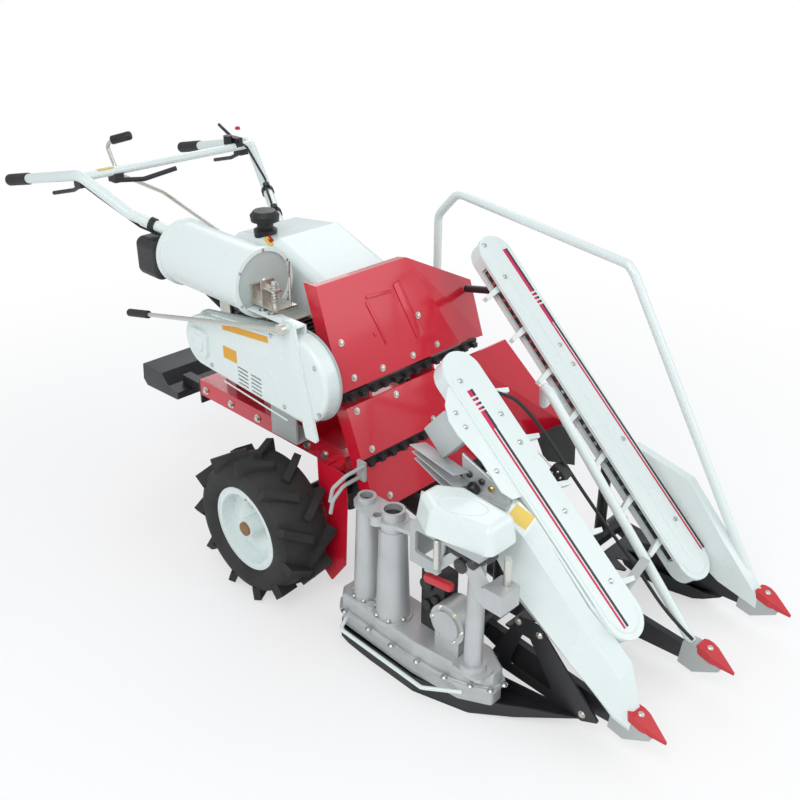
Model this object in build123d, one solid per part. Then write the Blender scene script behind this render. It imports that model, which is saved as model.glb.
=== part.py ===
# Walk-behind two-row reaper binder.
# Millimetres. +X points forward to the divider tips, +Y to the machine's left, +Z up.
# While the pieces are made, the axle line is at x = 0, the middle of the wheels at y = 0 and
# the floor at z = 0. The last step moves the whole machine so that the origin lies on the
# floor under its middle.
import os
from math import asin, atan2, cos, hypot, pi, sin
from build123d import *

# Wheels
TYRE_R = 203.0
TYRE_W = 160.0
CARCASS_R = 186.0
CARCASS_WALL = 10.0
RIM_R = 117.0
BEAD_SEAT_R = 101.6
RIM_HALF_WIDTH = 60.0
RIM_WALL = 3.0
TRACK = 666.0
LUGS_PER_SIDE = 11
LUG_THICK = 20.0
LUG_LENGTH = 96.0
LUG_SLANT = 33.0
LUG_OVERHANG = 3.0
HUB_R = 27.0
HUB_INNER = 50.0
AXLE_R = 14.0

# Clearances
RUN_GAP = 6.0
PIN_GAP = 0.4
SEAT_GAP = 0.3

# Chassis rails
RAIL_OUT_Y = 198.0
RAIL_W = 25.0
RAIL_Z0 = 364.0
RAIL_H = 44.0
RAIL_REAR_X = -447.0
RAIL_FRONT_X = 176.0
BED_T = 6.0
BED_FRONT_X = -60.0
RAIL_TOP = RAIL_Z0 + RAIL_H
STAND_Y = 118.0
EAR_Z0, EAR_Z1 = 374.0, 400.0
BED_TOP = RAIL_TOP + BED_T

# Gearbox and its axle tubes
CASE_R = 88.0
CASE_HALF_W = 62.0
AXLE_TUBE_R = 30.0

# Engine
ENG_X0, ENG_X1 = -420.0, -130.0
ENG_Y0, ENG_Y1 = -118.0, 118.0
CRANKCASE_H = 150.0
CYL_H = 92.0
HEAD_T = 20.0
FIN_COUNT = 7
FIN_T = 5.0
FAN_T = 62.0
FAN_R = 118.0

# Fuel tank cowl
TANK_Y0, TANK_Y1 = -92.0, 150.0
TANK_REAR_X, TANK_FRONT_X = -392.0, 48.0
TANK_TOP = 866.0

# Belt guard
GUARD_OUT_Y = -290.0
GUARD_DEPTH = 44.0
GUARD_REAR = (-285.0, 613.0)
GUARD_REAR_R = 72.0
GUARD_FRONT = (104.0, 632.0)
GUARD_FRONT_R = 113.0
BACK_PLATE_T = 4.0
BACK_PLATE_LIP = 5.0

# Twine canister
CAN_Y, CAN_Z = -225.0, 817.0
CAN_R = 84.0
CAN_FLANGE_R = 90.0
CAN_X0, CAN_X1 = -418.0, -76.0
CAN_RECESS = 7.0

# Handlebar: half the machine's width at each bend, seen from behind
BAR_R = 15.0
BAR_ROUTE = [
    # x, half width, z
    (-1208.0, 316.0, 880.0),
    (-800.0, 300.0, 966.0),
    (-655.0, 240.0, 872.0),
    (-432.0, 122.0, 790.0),
    (-425.0, 104.0, 700.0),
    (-425.0, 104.0, BED_TOP),
]
BAR_BEND = 60.0
GRIP_R = 18.0
GRIP_L = 118.0
GRIP_END = 8.0

CABLE_R = 3.5

# Red shield
SHIELD_T = 3.0
SHIELD_TOP = (95.0, 847.0)
SHIELD_FOLD = (180.0, 588.0)
SHIELD_LOW = (300.0, 298.0)
SHIELD_RIGHT_Y = -205.0
SHIELD_TOP_LEFT_Y = 100.0
SHIELD_MID_LEFT_Y = 228.0
SHIELD_LEFT_Y = 400.0
SLOT_H = 26.0

# Header
BEAM_X, BEAM_Z, BEAM_R = 610.0, 120.0, 24.0
TIP_X = 1118.0
TIP_Z = 92.0
ROW_Y = {"right": -154.0, "middle": 140.0, "left": 428.0}

# Raising cases: centre line ends, half width, depth
CASE_DEPTH = 46.0
CASES = {
    # name: y, top x, top z, bottom x, bottom z, width
    "left": (340.0, 204.0, 823.0, 880.0, 187.0, 118.0),
    "right": (-95.0, 470.0, 712.0, 947.0, 295.0, 112.0),
}

# Binder unit on the right side
BASE_Z0 = 44.0
BASE_FLANGE_Z = 96.0
BASE_TOP = 136.0
COLUMNS = [
    # x, y, foot radius, head radius, top z
    (362.0, -300.0, 36.0, 25.0, 400.0),
    (455.0, -306.0, 42.0, 33.0, 386.0),
    (716.0, -316.0, 22.0, 19.0, 430.0),
]
GROOVE_DEPTH = 18.0
GROOVE_W0, GROOVE_W1 = -34.0, -12.0
FINGER_PITCH = 128.0
FINGER_REACH = 50.0

# Divider shells: sections from the rear to the tip, each with its corners in Y and Z
SHELL_WALL = 4.0
SHELLS = {
    "right": [
        (640.0, [(-200, 400), (-222, 440), (-188, 488), (-154, 520), (-154, 400)]),
        (740.0, [(-190, 250), (-226, 330), (-192, 440), (-154, 474), (-154, 250)]),
        (900.0, [(-188, 165), (-214, 205), (-186, 290), (-154, 332), (-154, 165)]),
        (1000.0, [(-182, 92), (-190, 112), (-168, 190), (-128, 215), (-126, 92)]),
        (1040.0, [(-172, 76), (-176, 86), (-160, 118), (-140, 120), (-138, 76)]),
    ],
    "left": [
        (640.0, [(401, 330), (401, 392), (430, 390), (466, 356), (456, 330)]),
        (810.0, [(401, 170), (401, 356), (432, 352), (470, 290), (456, 170)]),
        (930.0, [(401, 105), (401, 222), (428, 232), (462, 190), (452, 105)]),
        (1035.0, [(410, 72), (410, 104), (428, 122), (446, 104), (446, 72)]),
    ],
}

# Skid pans: corners of the plan, and corners of the curved side
SKID_T = 4.0
SKIDS = {
    "right": (
        [(286, -240), (290, -322), (318, -352), (570, -356), (712, -316), (930, -184), (916, -176),
         (712, -205), (340, -205)],
        [(280, 42), (300, 20), (345, 5), (420, 0), (700, 0), (800, 12), (935, 44)],
    ),
    "left": (
        [(640, 404), (640, 452), (900, 452), (940, 438), (940, 418), (900, 404)],
        [(636, 40), (660, 12), (700, 0), (790, 0), (870, 14), (945, 50)],
    ),
}

# Cutter bar and tips
KNIFE_X, KNIFE_Z = 668.0, BEAM_Z + 6.0 + SEAT_GAP
KNIFE_PITCH = 50.0
HOLDER_X0 = 985.0
HOLDER_HALF = 17.0
TIP_HALF_W = 21.0
GUARD_TUBE_R = 12.0
LUG_PITCH = 38.0
SIDE_PLATE_Y = TYRE_W / 2 + 12.0 - TRACK / 2
BASE_PLAN = [(290, -316), (312, -340), (560, -348), (690, -334), (760, -298), (760, -262), (700, -228),
             (330, -222), (290, -250)]
KNOT_X0, KNOT_X1 = 556.0, 752.0
KNOT_Y0, KNOT_Y1 = -356.0, -236.0
KNOT_Z0, KNOT_Z1 = 372.0, 474.0
KNOT_COVER_H = 62.0


def block(x0, x1, y0, y1, z0, z1):
    """A box between two opposite corners."""
    return Pos((x0 + x1) / 2, (y0 + y1) / 2, (z0 + z1) / 2) * Box(x1 - x0, y1 - y0, z1 - z0)


def rod(points, radius, bend=0.0):
    """A round bar along straight runs whose corners are rounded."""
    path = Line(*points) if len(points) == 2 else FilletPolyline(*points, radius=bend)
    return sweep(Plane(origin=path @ 0, z_dir=path % 0) * Circle(radius), path=path)


def outline(points, corner=0.0):
    """A closed flat outline with rounded corners."""
    face = make_face(Polyline(*points, close=True))
    sketch = Sketch() + face
    return fillet(sketch.vertices(), corner) if corner else sketch


def side_slab(sketch, y0, y1):
    """A flat outline in X and Z, thickened from y0 to y1."""
    return extrude(Plane.XZ.offset(-y1) * sketch, amount=y1 - y0)


def flat_slab(sketch, z0, z1):
    """A flat outline in X and Y, thickened from z0 to z1."""
    return extrude(Plane.XY.offset(z0) * sketch, amount=z1 - z0)


def sheet(corners, thickness):
    """A flat sheet with its front face on the corners, listed anticlockwise from the front."""
    first, second, third = (Vector(*c) for c in corners[:3])
    along = second - first
    normal = along.cross(third - first)
    plane = Plane(origin=first, x_dir=along, z_dir=normal)
    flat = [plane.to_local_coords(Vector(*c)) for c in corners]
    face = make_face(Polyline(*[(p.X, p.Y) for p in flat], close=True))
    return extrude(plane * face, amount=-thickness)


def belt_outline(c0, r0, c1, r1):
    """The outline that a belt makes round two circles."""
    dx, dz = c1[0] - c0[0], c1[1] - c0[1]
    reach = hypot(dx, dz)
    lean = asin((r1 - r0) / reach)
    turn = atan2(dz, dx)
    corners = []
    for side, ends in ((1, ((c0, r0), (c1, r1))), (-1, ((c1, r1), (c0, r0)))):
        angle = turn + side * (pi / 2 + lean)
        for centre, radius in ends:
            corners.append((centre[0] + radius * cos(angle), centre[1] + radius * sin(angle)))
    body = make_face(Polyline(*corners, close=True))
    return Pos(*c0) * Circle(r0) + Pos(*c1) * Circle(r1) + body


def both_sides(shape):
    """A shape and its mirror image on the machine's other side."""
    return shape + mirror(shape, about=Plane.XZ)


def make_tyre():
    """A hollow carcass with slanted lugs, its outer side facing +Y."""
    half = TYRE_W / 2
    bead_y = RIM_HALF_WIDTH - SEAT_GAP
    wide_r = (CARCASS_R + BEAD_SEAT_R) / 2 + 4
    shoulder_y = half - 12
    inner_half = half - CARCASS_WALL
    seat = BEAD_SEAT_R + SEAT_GAP
    inner = [(seat, bead_y - 1.5 * CARCASS_WALL), (wide_r - 10, inner_half - 2),
             (CARCASS_R - 2.6 * CARCASS_WALL, inner_half - 2 * CARCASS_WALL)]
    outer = [
        Line((seat, -bead_y), (RIM_R, -bead_y)),
        ThreePointArc((RIM_R, -bead_y), (wide_r, -half), (CARCASS_R - 12, -shoulder_y)),
        ThreePointArc((CARCASS_R - 12, -shoulder_y), (CARCASS_R, 0), (CARCASS_R - 12, shoulder_y)),
        ThreePointArc((CARCASS_R - 12, shoulder_y), (wide_r, half), (RIM_R, bead_y)),
        Line((RIM_R, bead_y), (seat, bead_y)),
        Polyline((seat, bead_y), *[(r, y) for r, y in inner], *[(r, -y) for r, y in inner[::-1]],
                 (seat, -bead_y)),
    ]
    tyre = revolve(make_face(outer), axis=Axis.Y)
    reach = LUG_LENGTH / 2 * sin(LUG_SLANT * pi / 180) + LUG_THICK / 2
    top = (TYRE_R ** 2 - reach ** 2) ** 0.5
    foot = CARCASS_R - 24
    mid = half + LUG_OVERHANG - LUG_LENGTH / 2 * cos(LUG_SLANT * pi / 180) - LUG_THICK / 4
    lug = Pos(0, 0, (top + foot) / 2) * Box(LUG_THICK, LUG_LENGTH, top - foot)
    pitch = 360.0 / LUGS_PER_SIDE
    lugs = []
    for side in (1, -1):
        slanted = Pos(0, side * mid, 0) * Rot(0, 0, side * LUG_SLANT) * lug
        for i in range(LUGS_PER_SIDE):
            lugs.append(Rot(0, (i + side / 4) * pitch, 0) * slanted)
    return tyre + lugs


def make_rim():
    """A dished white rim with its tubular hub, its outer side facing +Y."""
    w, t = RIM_HALF_WIDTH, RIM_WALL
    barrel_in = BEAD_SEAT_R - t
    dish_y = 12.0
    section = [
        (BEAD_SEAT_R, -w), (RIM_R, -w), (RIM_R, -w - t), (barrel_in, -w - t),
        (barrel_in, dish_y), (barrel_in - 22, dish_y + 6), (HUB_R + 12, dish_y - 14),
        (HUB_R, dish_y - 14), (HUB_R, -HUB_INNER), (AXLE_R, -HUB_INNER), (AXLE_R, w),
        (HUB_R, w), (HUB_R, dish_y - 14 + 5), (HUB_R + 10, dish_y - 14 + 5),
        (barrel_in - 24, dish_y + 6 + 5), (barrel_in, dish_y + 5 + 6), (barrel_in, w + t),
        (RIM_R, w + t), (RIM_R, w), (BEAD_SEAT_R, w),
    ]
    rim = revolve(make_face(Polyline(*section, close=True)), axis=Axis.Y)
    slot = Pos(0, dish_y, 62) * Rot(90, 0, 0) * extrude(SlotOverall(26, 12), amount=30, both=True)
    return rim - slot


def make_half_axle():
    """The driven half shaft that carries one wheel, along +Y from the gearbox."""
    inner = -(TRACK / 2 - CASE_HALF_W - 40)
    shaft = Rot(-90, 0, 0) * Cylinder(AXLE_R, RIM_HALF_WIDTH - 6 - inner, align=(
        Align.CENTER, Align.CENTER, Align.MIN))
    return Pos(0, inner, 0) * shaft


def make_gearbox():
    """The cast transmission between the wheels, with its two axle tubes."""
    neck = [(-92, TYRE_R), (72, TYRE_R), (62, RAIL_Z0 - 12), (-104, RAIL_Z0 - 12)]
    side = Pos(0, TYRE_R) * Circle(CASE_R) + outline(neck, 0)
    body = side_slab(side, -CASE_HALF_W, CASE_HALF_W)
    seam = side_slab(offset(side, 7), -5, 5)
    head = block(-120, 80, -CASE_HALF_W - 14, CASE_HALF_W + 14, RAIL_Z0 - 14, RAIL_Z0)
    tube_end = TRACK / 2 - HUB_INNER - RUN_GAP
    tube = Rot(90, 0, 0) * Cylinder(AXLE_TUBE_R, 2 * tube_end)
    collar = Rot(90, 0, 0) * Cylinder(AXLE_TUBE_R + 14, 2 * CASE_HALF_W + 24)
    bore = Rot(90, 0, 0) * Cylinder(AXLE_R + PIN_GAP, 2 * tube_end + 2)
    middle = Rot(90, 0, 0) * Cylinder(AXLE_R + 4, 2 * CASE_HALF_W - 20)
    drive = rod([(CASE_R - 20, 0, TYRE_R + 40), (BEAM_X - 40, 0, BEAM_Z + 16)], 26)
    nose = Pos(0, 0, TYRE_R)
    case = body + seam + head + nose * (tube + collar) + drive
    return case - nose * (bore + middle)


def make_chassis():
    """Two rails with cross members, the engine bed and the uprights behind the shield."""
    rail = block(RAIL_REAR_X, RAIL_FRONT_X, RAIL_OUT_Y - RAIL_W, RAIL_OUT_Y, RAIL_Z0, RAIL_TOP)
    inner = RAIL_OUT_Y - RAIL_W
    crosses = [block(x, x + 36, -inner, inner, RAIL_Z0, RAIL_TOP) for x in (
        RAIL_REAR_X, -250, -40, RAIL_FRONT_X - 36)]
    bed = block(RAIL_REAR_X, BED_FRONT_X, -RAIL_OUT_Y, RAIL_OUT_Y, RAIL_TOP, BED_TOP)
    head_seat = block(-120, 80, -inner, inner, RAIL_Z0, RAIL_Z0 + 8)
    lean = (SHIELD_FOLD[0] - SHIELD_TOP[0]) / (SHIELD_TOP[1] - SHIELD_FOLD[1])
    back = SHIELD_T * hypot(1, lean) + SEAT_GAP
    top_z = SHIELD_TOP[1] - 60
    foot_z = RAIL_TOP + 20
    stand = [(RAIL_FRONT_X - 60, RAIL_TOP), (RAIL_FRONT_X, RAIL_TOP), (shield_x(foot_z) - back, foot_z),
             (shield_x(top_z) - back, top_z), (shield_x(top_z) - back - 40, top_z)]
    post = side_slab(outline(stand), STAND_Y - 8, STAND_Y)
    ear = [(RAIL_FRONT_X - 10, EAR_Z0), (shield_x(EAR_Z0, False) - back, EAR_Z0),
           (shield_x(EAR_Z1, False) - back, EAR_Z1), (RAIL_FRONT_X - 10, EAR_Z1)]
    arm = side_slab(outline(ear), STAND_Y + 20, STAND_Y + 28)
    return both_sides(rail + post + arm) + crosses + bed + head_seat


def make_engine():
    """Crankcase and finned cylinder as one heavy block, open to view."""
    z = BED_TOP
    case = block(ENG_X0 + 30, ENG_X1, ENG_Y0, ENG_Y1, z, z + CRANKCASE_H)
    case = fillet(case.edges().filter_by(Axis.Y), 26)
    foot = block(ENG_X0 + 34, ENG_X1 + 40, ENG_Y0 - 22, ENG_Y1 + 22, z, z + 14)
    core_x0, core_x1 = ENG_X0 + 60, ENG_X1 - 50
    top = z + CRANKCASE_H + CYL_H
    core = block(core_x0, core_x1, ENG_Y0 + 42, ENG_Y1 - 42, z + CRANKCASE_H - 30, top)
    pitch = CYL_H / FIN_COUNT
    fins = []
    for i in range(FIN_COUNT):
        z_fin = z + CRANKCASE_H + (i + 0.5) * pitch
        fins.append(block(core_x0 - 26, core_x1 + 26, ENG_Y0 + 16, ENG_Y1 - 16, z_fin, z_fin + FIN_T))
    head = block(core_x0 + 8, core_x1 - 8, ENG_Y0 + 34, ENG_Y1 - 34, top, top + HEAD_T)
    shaft_z = GUARD_REAR[1]
    boss = Pos(GUARD_REAR[0], ENG_Y0, min(shaft_z, top - 20))
    crank = Rot(90, 0, 0) * Cylinder(34, 96)
    return case + foot + core + fins + head + boss * crank


def make_fan_housing():
    """The round fan cover on the engine's left side."""
    centre = ((ENG_X0 + ENG_X1) / 2 + 10, BED_TOP + FAN_R + 8)
    drum = side_slab(Pos(*centre) * Circle(FAN_R), ENG_Y1, ENG_Y1 + FAN_T)
    rim_edges = drum.edges().group_by(Axis.Y)[-1]
    drum = fillet(rim_edges, 18)
    slots = []
    for i in range(10):
        slot = Pos(*centre) * Rot(0, 0, i * 36) * Pos(66, 0) * SlotOverall(58, 9)
        slots.append(side_slab(slot, ENG_Y1 + FAN_T - 8, ENG_Y1 + FAN_T + 1))
    starter = side_slab(Pos(*centre) * Circle(30), ENG_Y1 + FAN_T, ENG_Y1 + FAN_T + 16)
    return drum - slots + starter


def make_muffler():
    """The silencer on the engine's left rear, with its outlet pipe."""
    z = BED_TOP + CRANKCASE_H + 66
    can = Pos(ENG_X0 - 72, 30, z) * Rot(90, 0, 0) * Cylinder(40, 150)
    can = fillet(can.edges(), 10)
    outlet = rod([(ENG_X0 - 72, 100, z), (ENG_X0 - 72, 136, z), (ENG_X0 - 120, 150, z - 20)], 11, 16)
    inlet = rod([(ENG_X0 - 40, 20, z), (ENG_X0 + 34, 20, z)], 13)
    return can + outlet + inlet


def make_air_filter():
    """The black air filter behind the canister, with its elbow to the engine."""
    box = block(-640, -520, -250, -150, 704, 816)
    box = fillet(box.edges(), 24)
    elbow = rod([(-524, -185, 745), (-468, -185, 745), (-468, -67, 600), (ENG_X0 + 34, -67, 600)],
                20, [26, 26])
    knob = Pos(-646, -200, 750) * Rot(0, 90, 0) * Cylinder(13, 14)
    return box + elbow + knob


def make_tank():
    """The smooth white fuel tank cowl over the engine."""
    low = BED_TOP + CRANKCASE_H + CYL_H + HEAD_T + SEAT_GAP
    x0, x1, top = TANK_REAR_X, TANK_FRONT_X, TANK_TOP
    side = [(x0, low), (x0 + 4, top - 22), (x0 + 190, top), (x1 - 60, top - 70),
            (x1, top - 150), (x1, low)]
    tank = side_slab(outline(side, 16), TANK_Y0, TANK_Y1)
    long_edges = tank.edges().filter_by(lambda e: abs((e % 0.5).Y) < 0.1 and e.center().Z > low + 20)
    return fillet(long_edges, 24)


def make_tank_cap():
    """The black mushroom cap on the tank."""
    x, y = -285.0, -52.0
    z = TANK_TOP - 10
    profile = [(0, z - 14), (30, z - 14), (32, z + 14), (22, z + 20), (22, z + 34), (38, z + 38),
               (40, z + 54), (30, z + 66), (0, z + 70)]
    return Pos(x, y, 0) * revolve(make_face(Plane.XZ * Polyline(*profile, close=True)), axis=Axis.Z)


def make_belt_guard():
    """The green-white belt guard with its rounded boss, stripe field and louvres."""
    face = belt_outline(GUARD_REAR, GUARD_REAR_R, GUARD_FRONT, GUARD_FRONT_R)
    inner_y = GUARD_OUT_Y + GUARD_DEPTH
    shell = side_slab(face, GUARD_OUT_Y, inner_y)
    shell = fillet(shell.edges().group_by(Axis.Y)[0], 12)
    hollow = side_slab(offset(face, -4), GUARD_OUT_Y + 4, inner_y)
    boss = side_slab(Pos(*GUARD_REAR) * RectangleRounded(76, 76, 20), GUARD_OUT_Y - 9, GUARD_OUT_Y + 2)
    louvres = []
    for column in range(2):
        for row in range(5):
            x = GUARD_REAR[0] + 180 + 54 * column
            z = GUARD_REAR[1] - 66 + 11 * row - 4 * column
            slot = Pos(x, z) * Rot(0, 0, -4) * SlotOverall(44, 5)
            louvres.append(side_slab(slot, GUARD_OUT_Y - 1, GUARD_OUT_Y + 5))
    return shell - hollow + boss - louvres


def make_back_plate():
    """The grey plate that closes the belt guard's inner side."""
    face = belt_outline(GUARD_REAR, GUARD_REAR_R + BACK_PLATE_LIP,
                        GUARD_FRONT, GUARD_FRONT_R + BACK_PLATE_LIP)
    y0 = GUARD_OUT_Y + GUARD_DEPTH
    plate = side_slab(face, y0, y0 + BACK_PLATE_T)
    shaft = Pos(GUARD_REAR[0], (y0 + ENG_Y0 - 48) / 2, GUARD_REAR[1])
    length = ENG_Y0 - 48 - y0
    stub = shaft * Rot(90, 0, 0) * Cylinder(16, length)
    foot = side_slab(outline([(-60, RAIL_TOP), (40, RAIL_TOP), (40, 540), (-60, 540)]),
                     y0 + BACK_PLATE_T, y0 + BACK_PLATE_T + 6)
    shelf = block(-60, 40, y0 + BACK_PLATE_T, -RAIL_OUT_Y + RAIL_W, RAIL_TOP, RAIL_TOP + 6)
    return plate + stub + foot + shelf


def make_guard_post():
    """The white upright in front of the belt guard, which carries the hand lever."""
    y1 = GUARD_OUT_Y
    strip = outline([(72, 786), (114, 786), (188, 492), (144, 492)], 8)
    post = side_slab(strip, y1 - 7, y1)
    boss = Pos(93, y1 - 10, 770) * Rot(90, 0, 0) * Cylinder(9, 16)
    return post + boss


def make_hand_lever():
    """The side lever: a long round rod pivoted on the upright, with a black grip's core."""
    y = GUARD_OUT_Y - 25
    lever = rod([(-588, y, 616), (93, y, 770)], 6)
    eye = Pos(93, y, 770) * Rot(90, 0, 0) * Cylinder(14, 14)
    return lever + eye


def make_lever_grip():
    """The black grip on the side lever."""
    y = GUARD_OUT_Y - 25
    slope = (770 - 616) / (93 + 588)
    x0, x1 = -592.0, -490.0
    ends = [(x, y, 616 + slope * (x + 588)) for x in (x0, x1)]
    return fillet(rod(ends, 11).edges(), 3)


def make_canister():
    """The white twine canister, a drum lying along the machine."""
    drum = Pos((CAN_X0 + CAN_X1) / 2, CAN_Y, CAN_Z) * Rot(0, 90, 0)
    length = CAN_X1 - CAN_X0
    body = drum * Cylinder(CAN_R, length)
    for x in (CAN_X0 + 8, CAN_X1 - 8):
        body += Pos(x, CAN_Y, CAN_Z) * Rot(0, 90, 0) * Cylinder(CAN_FLANGE_R, 16)
    for x in (CAN_X0, CAN_X1):
        body -= Pos(x, CAN_Y, CAN_Z) * Rot(0, 90, 0) * Cylinder(CAN_R - 4, 2 * CAN_RECESS)
    return body


def make_tray():
    """The tray under the canister with its bent rail and two legs."""
    z = CAN_Z - CAN_FLANGE_R - 8
    deck = block(CAN_X0 - 20, CAN_X1 + 60, CAN_Y + 14, -130, z, z + 4)
    saddle = block(CAN_X0 + 20, CAN_X1 - 20, CAN_Y + 14, CAN_Y + 22, z, CAN_Z - 82)
    legs = [block(x, x + 34, -160, -154, BED_TOP, z) for x in (CAN_X0 + 60, CAN_X1 - 120)]
    return deck + saddle + legs


def make_tensioner():
    """The twine tensioner on the canister's front end."""
    y0 = CAN_Y - 44
    foot = block(CAN_X1 + 2, CAN_X1 + 96, y0, y0 + 66, CAN_Z - 40, CAN_Z - 36)
    wall = block(CAN_X1 - CAN_RECESS + SEAT_GAP, CAN_X1 + 6, y0, y0 + 66, CAN_Z - 40, CAN_Z + 8)
    upright = block(CAN_X1 + 40, CAN_X1 + 44, y0, y0 + 40, CAN_Z - 36, CAN_Z + 26)
    clamp = block(CAN_X1 + 44, CAN_X1 + 84, y0 + 8, y0 + 30, CAN_Z + 4, CAN_Z + 9)
    pin = Pos(CAN_X1 + 70, y0 + 18, CAN_Z - 4) * Cylinder(7, 64)
    eye = rod([(CAN_X1 + 90, y0 + 50, CAN_Z - 36), (CAN_X1 + 90, y0 + 50, CAN_Z + 40),
               (CAN_X1 + 130, y0 + 20, CAN_Z + 96)], 3, 12)
    return foot + wall + upright + clamp + pin + eye


def make_handlebar():
    """Two bent tubes from the gearbox back to the grips, tied by a cross tube."""
    tubes = Part()
    for side in (1, -1):
        route = [(x, side * y, z) for x, y, z in BAR_ROUTE]
        tubes += rod(route, BAR_R, [BAR_BEND, BAR_BEND, 40, 40])
    x, y, z = BAR_ROUTE[1]
    cross = rod([(x + 12, -y, z - 4), (x + 12, y, z - 4)], 12)
    foot = BAR_ROUTE[-1]
    tie = block(foot[0] - 4, foot[0] + 4, -foot[1], foot[1], foot[2] + 60, foot[2] + 90)
    return tubes + cross + tie


def make_grip(side):
    """A black rubber grip with its end cap."""
    (x, y, z), (bx, by, bz) = BAR_ROUTE[0], BAR_ROUTE[1]
    start = Vector(x, side * y, z)
    along = (Vector(bx, side * by, bz) - start).normalized()
    grip = rod([start - along * GRIP_END, start + along * GRIP_L], GRIP_R)
    hole = rod([start, start + along * (GRIP_L + 10)], BAR_R)
    return fillet(grip.edges(), 4) - hole


def make_clutch_lever():
    """The black clutch lever under the cross tube, on the right."""
    plate = block(-812, -774, -205, -175, 930, 956)
    lever = rod([(-790, -190, 934), (-760, -120, 930), (-740, -20, 948)], 7, 40)
    return plate + lever


def make_brake_lever(side):
    """A hooked lever under one handlebar tube."""
    y = side * 282
    clamp = block(-842, -806, y - 16, y + 16, 926, 946)
    hook = rod([(-826, y, 930), (-880, y, 905), (-985, side * 292, 878)], 6, 30)
    return clamp + hook


def make_throttle():
    """The throttle and stop switch cluster on the left tube."""
    y = 262
    base = block(-832, -776, y - 30, y - 6, 962, 990)
    arm = rod([(-820, y - 18, 990), (-860, y - 18, 1008), (-890, y - 10, 1014)], 5, 20)
    switch = Pos(-806, y - 40, 984) * Cylinder(14, 26)
    return base + arm + switch


def make_gear_lever():
    """The gear-shift rod with its black knob, standing left of the right tube."""
    rod_part = rod([(TANK_REAR_X + 12, -30, 770), (-760, -60, 880), (-960, -90, 905), (-985, -100, 990),
                    (-960, -80, 1012)], 6, [60, 50, 20])
    knob = fillet(rod([(-968, -88, 1005), (-925, -54, 1020)], 12).edges(), 4)
    return rod_part + knob


def bar_point(x, side):
    """A point on the middle of the handlebar's long sloping run."""
    (x0, y0, z0), (x1, y1, z1) = BAR_ROUTE[2], BAR_ROUTE[3]
    t = (x - x0) / (x1 - x0)
    return Vector(x, side * (y0 + t * (y1 - y0)), z0 + t * (z1 - z0))


def make_cables():
    """The control cables along the handlebar's tubes, with the clips that hold them."""
    rise = Vector(0, 0, BAR_R + CABLE_R + 2.5)
    apart = Vector(0, -2.5 * CABLE_R, 0)
    near = [(-812, -282, 930), (-764, -268, 905), bar_point(-630, -1) - 1.15 * rise,
            bar_point(-450, -1) - rise, (-425, -150, 722)]
    cables = rod(near, CABLE_R, 28)
    for shift in (Vector(0, 0, 0), apart):
        far = [Vector(-800, 243, 984), Vector(-730, 236, 972), bar_point(-640, 1) + rise,
               bar_point(-432, 1) + rise, Vector(TANK_REAR_X + 6, 106, 803)]
        cables += rod([p + shift for p in far], CABLE_R, 28)
    for x, side in ((-600, -1), (-620, 1), (-520, 1)):
        middle, ahead = bar_point(x, side), bar_point(x + 14, side)
        cables += rod([middle, ahead], BAR_R + 4)
        cables += rod([middle + side * rise, ahead + side * rise], CABLE_R + 3)
        if side > 0:
            cables += rod([middle + rise + apart, ahead + rise + apart], CABLE_R + 3)
        cables -= rod([bar_point(x - 8, side), bar_point(x + 22, side)], BAR_R + SEAT_GAP)
    return cables


def make_rear_box():
    """The black ballast box behind the engine, hung on two arms."""
    side = [(-742, 372), (-640, 372), (-606, 340), (-560, 330), (-560, 308), (-730, 300), (-748, 318)]
    box = side_slab(outline(side, 5), -208, 208)
    arm = block(-600, RAIL_REAR_X, 130, 160, 336, RAIL_Z0)
    lug = block(RAIL_REAR_X - 6, RAIL_REAR_X, 120, RAIL_OUT_Y, 336, RAIL_TOP)
    return box + both_sides(arm + lug)


def shield_x(z, upper=True):
    """How far forward the shield's face is at a height."""
    (x0, z0), (x1, z1) = (SHIELD_TOP, SHIELD_FOLD) if upper else (SHIELD_FOLD, SHIELD_LOW)
    return x0 + (x1 - x0) * (z0 - z) / (z0 - z1)


def make_upper_shield():
    """The folded red panel above the lug chain's slot."""
    low = SHIELD_FOLD[1] + 4
    top = SHIELD_TOP[1]
    right, left_top, left_low = SHIELD_RIGHT_Y, SHIELD_TOP_LEFT_Y, SHIELD_MID_LEFT_Y
    a = (shield_x(low), right, low)
    b = (shield_x(low), left_low, low)
    c = (shield_x(top), left_top, top)
    d = (shield_x(top), right, top)
    main = sheet([a, b, c, d], SHIELD_T)
    e = (shield_x(low) - 20, left_low + 120, low - 20)
    f = (shield_x(top) - 20, 384, top - 140)
    wing = sheet([b, e, c], SHIELD_T) + sheet([e, f, c], SHIELD_T)
    flange = sheet([(a[0] - 46, right, low), a, d, (d[0] - 46, right, top)], SHIELD_T)
    hem = sheet([d, c, (c[0] - 30, c[1], c[2] - 6), (d[0] - 30, d[1], d[2] - 6)], SHIELD_T)
    return main + wing + flange + hem


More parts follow.
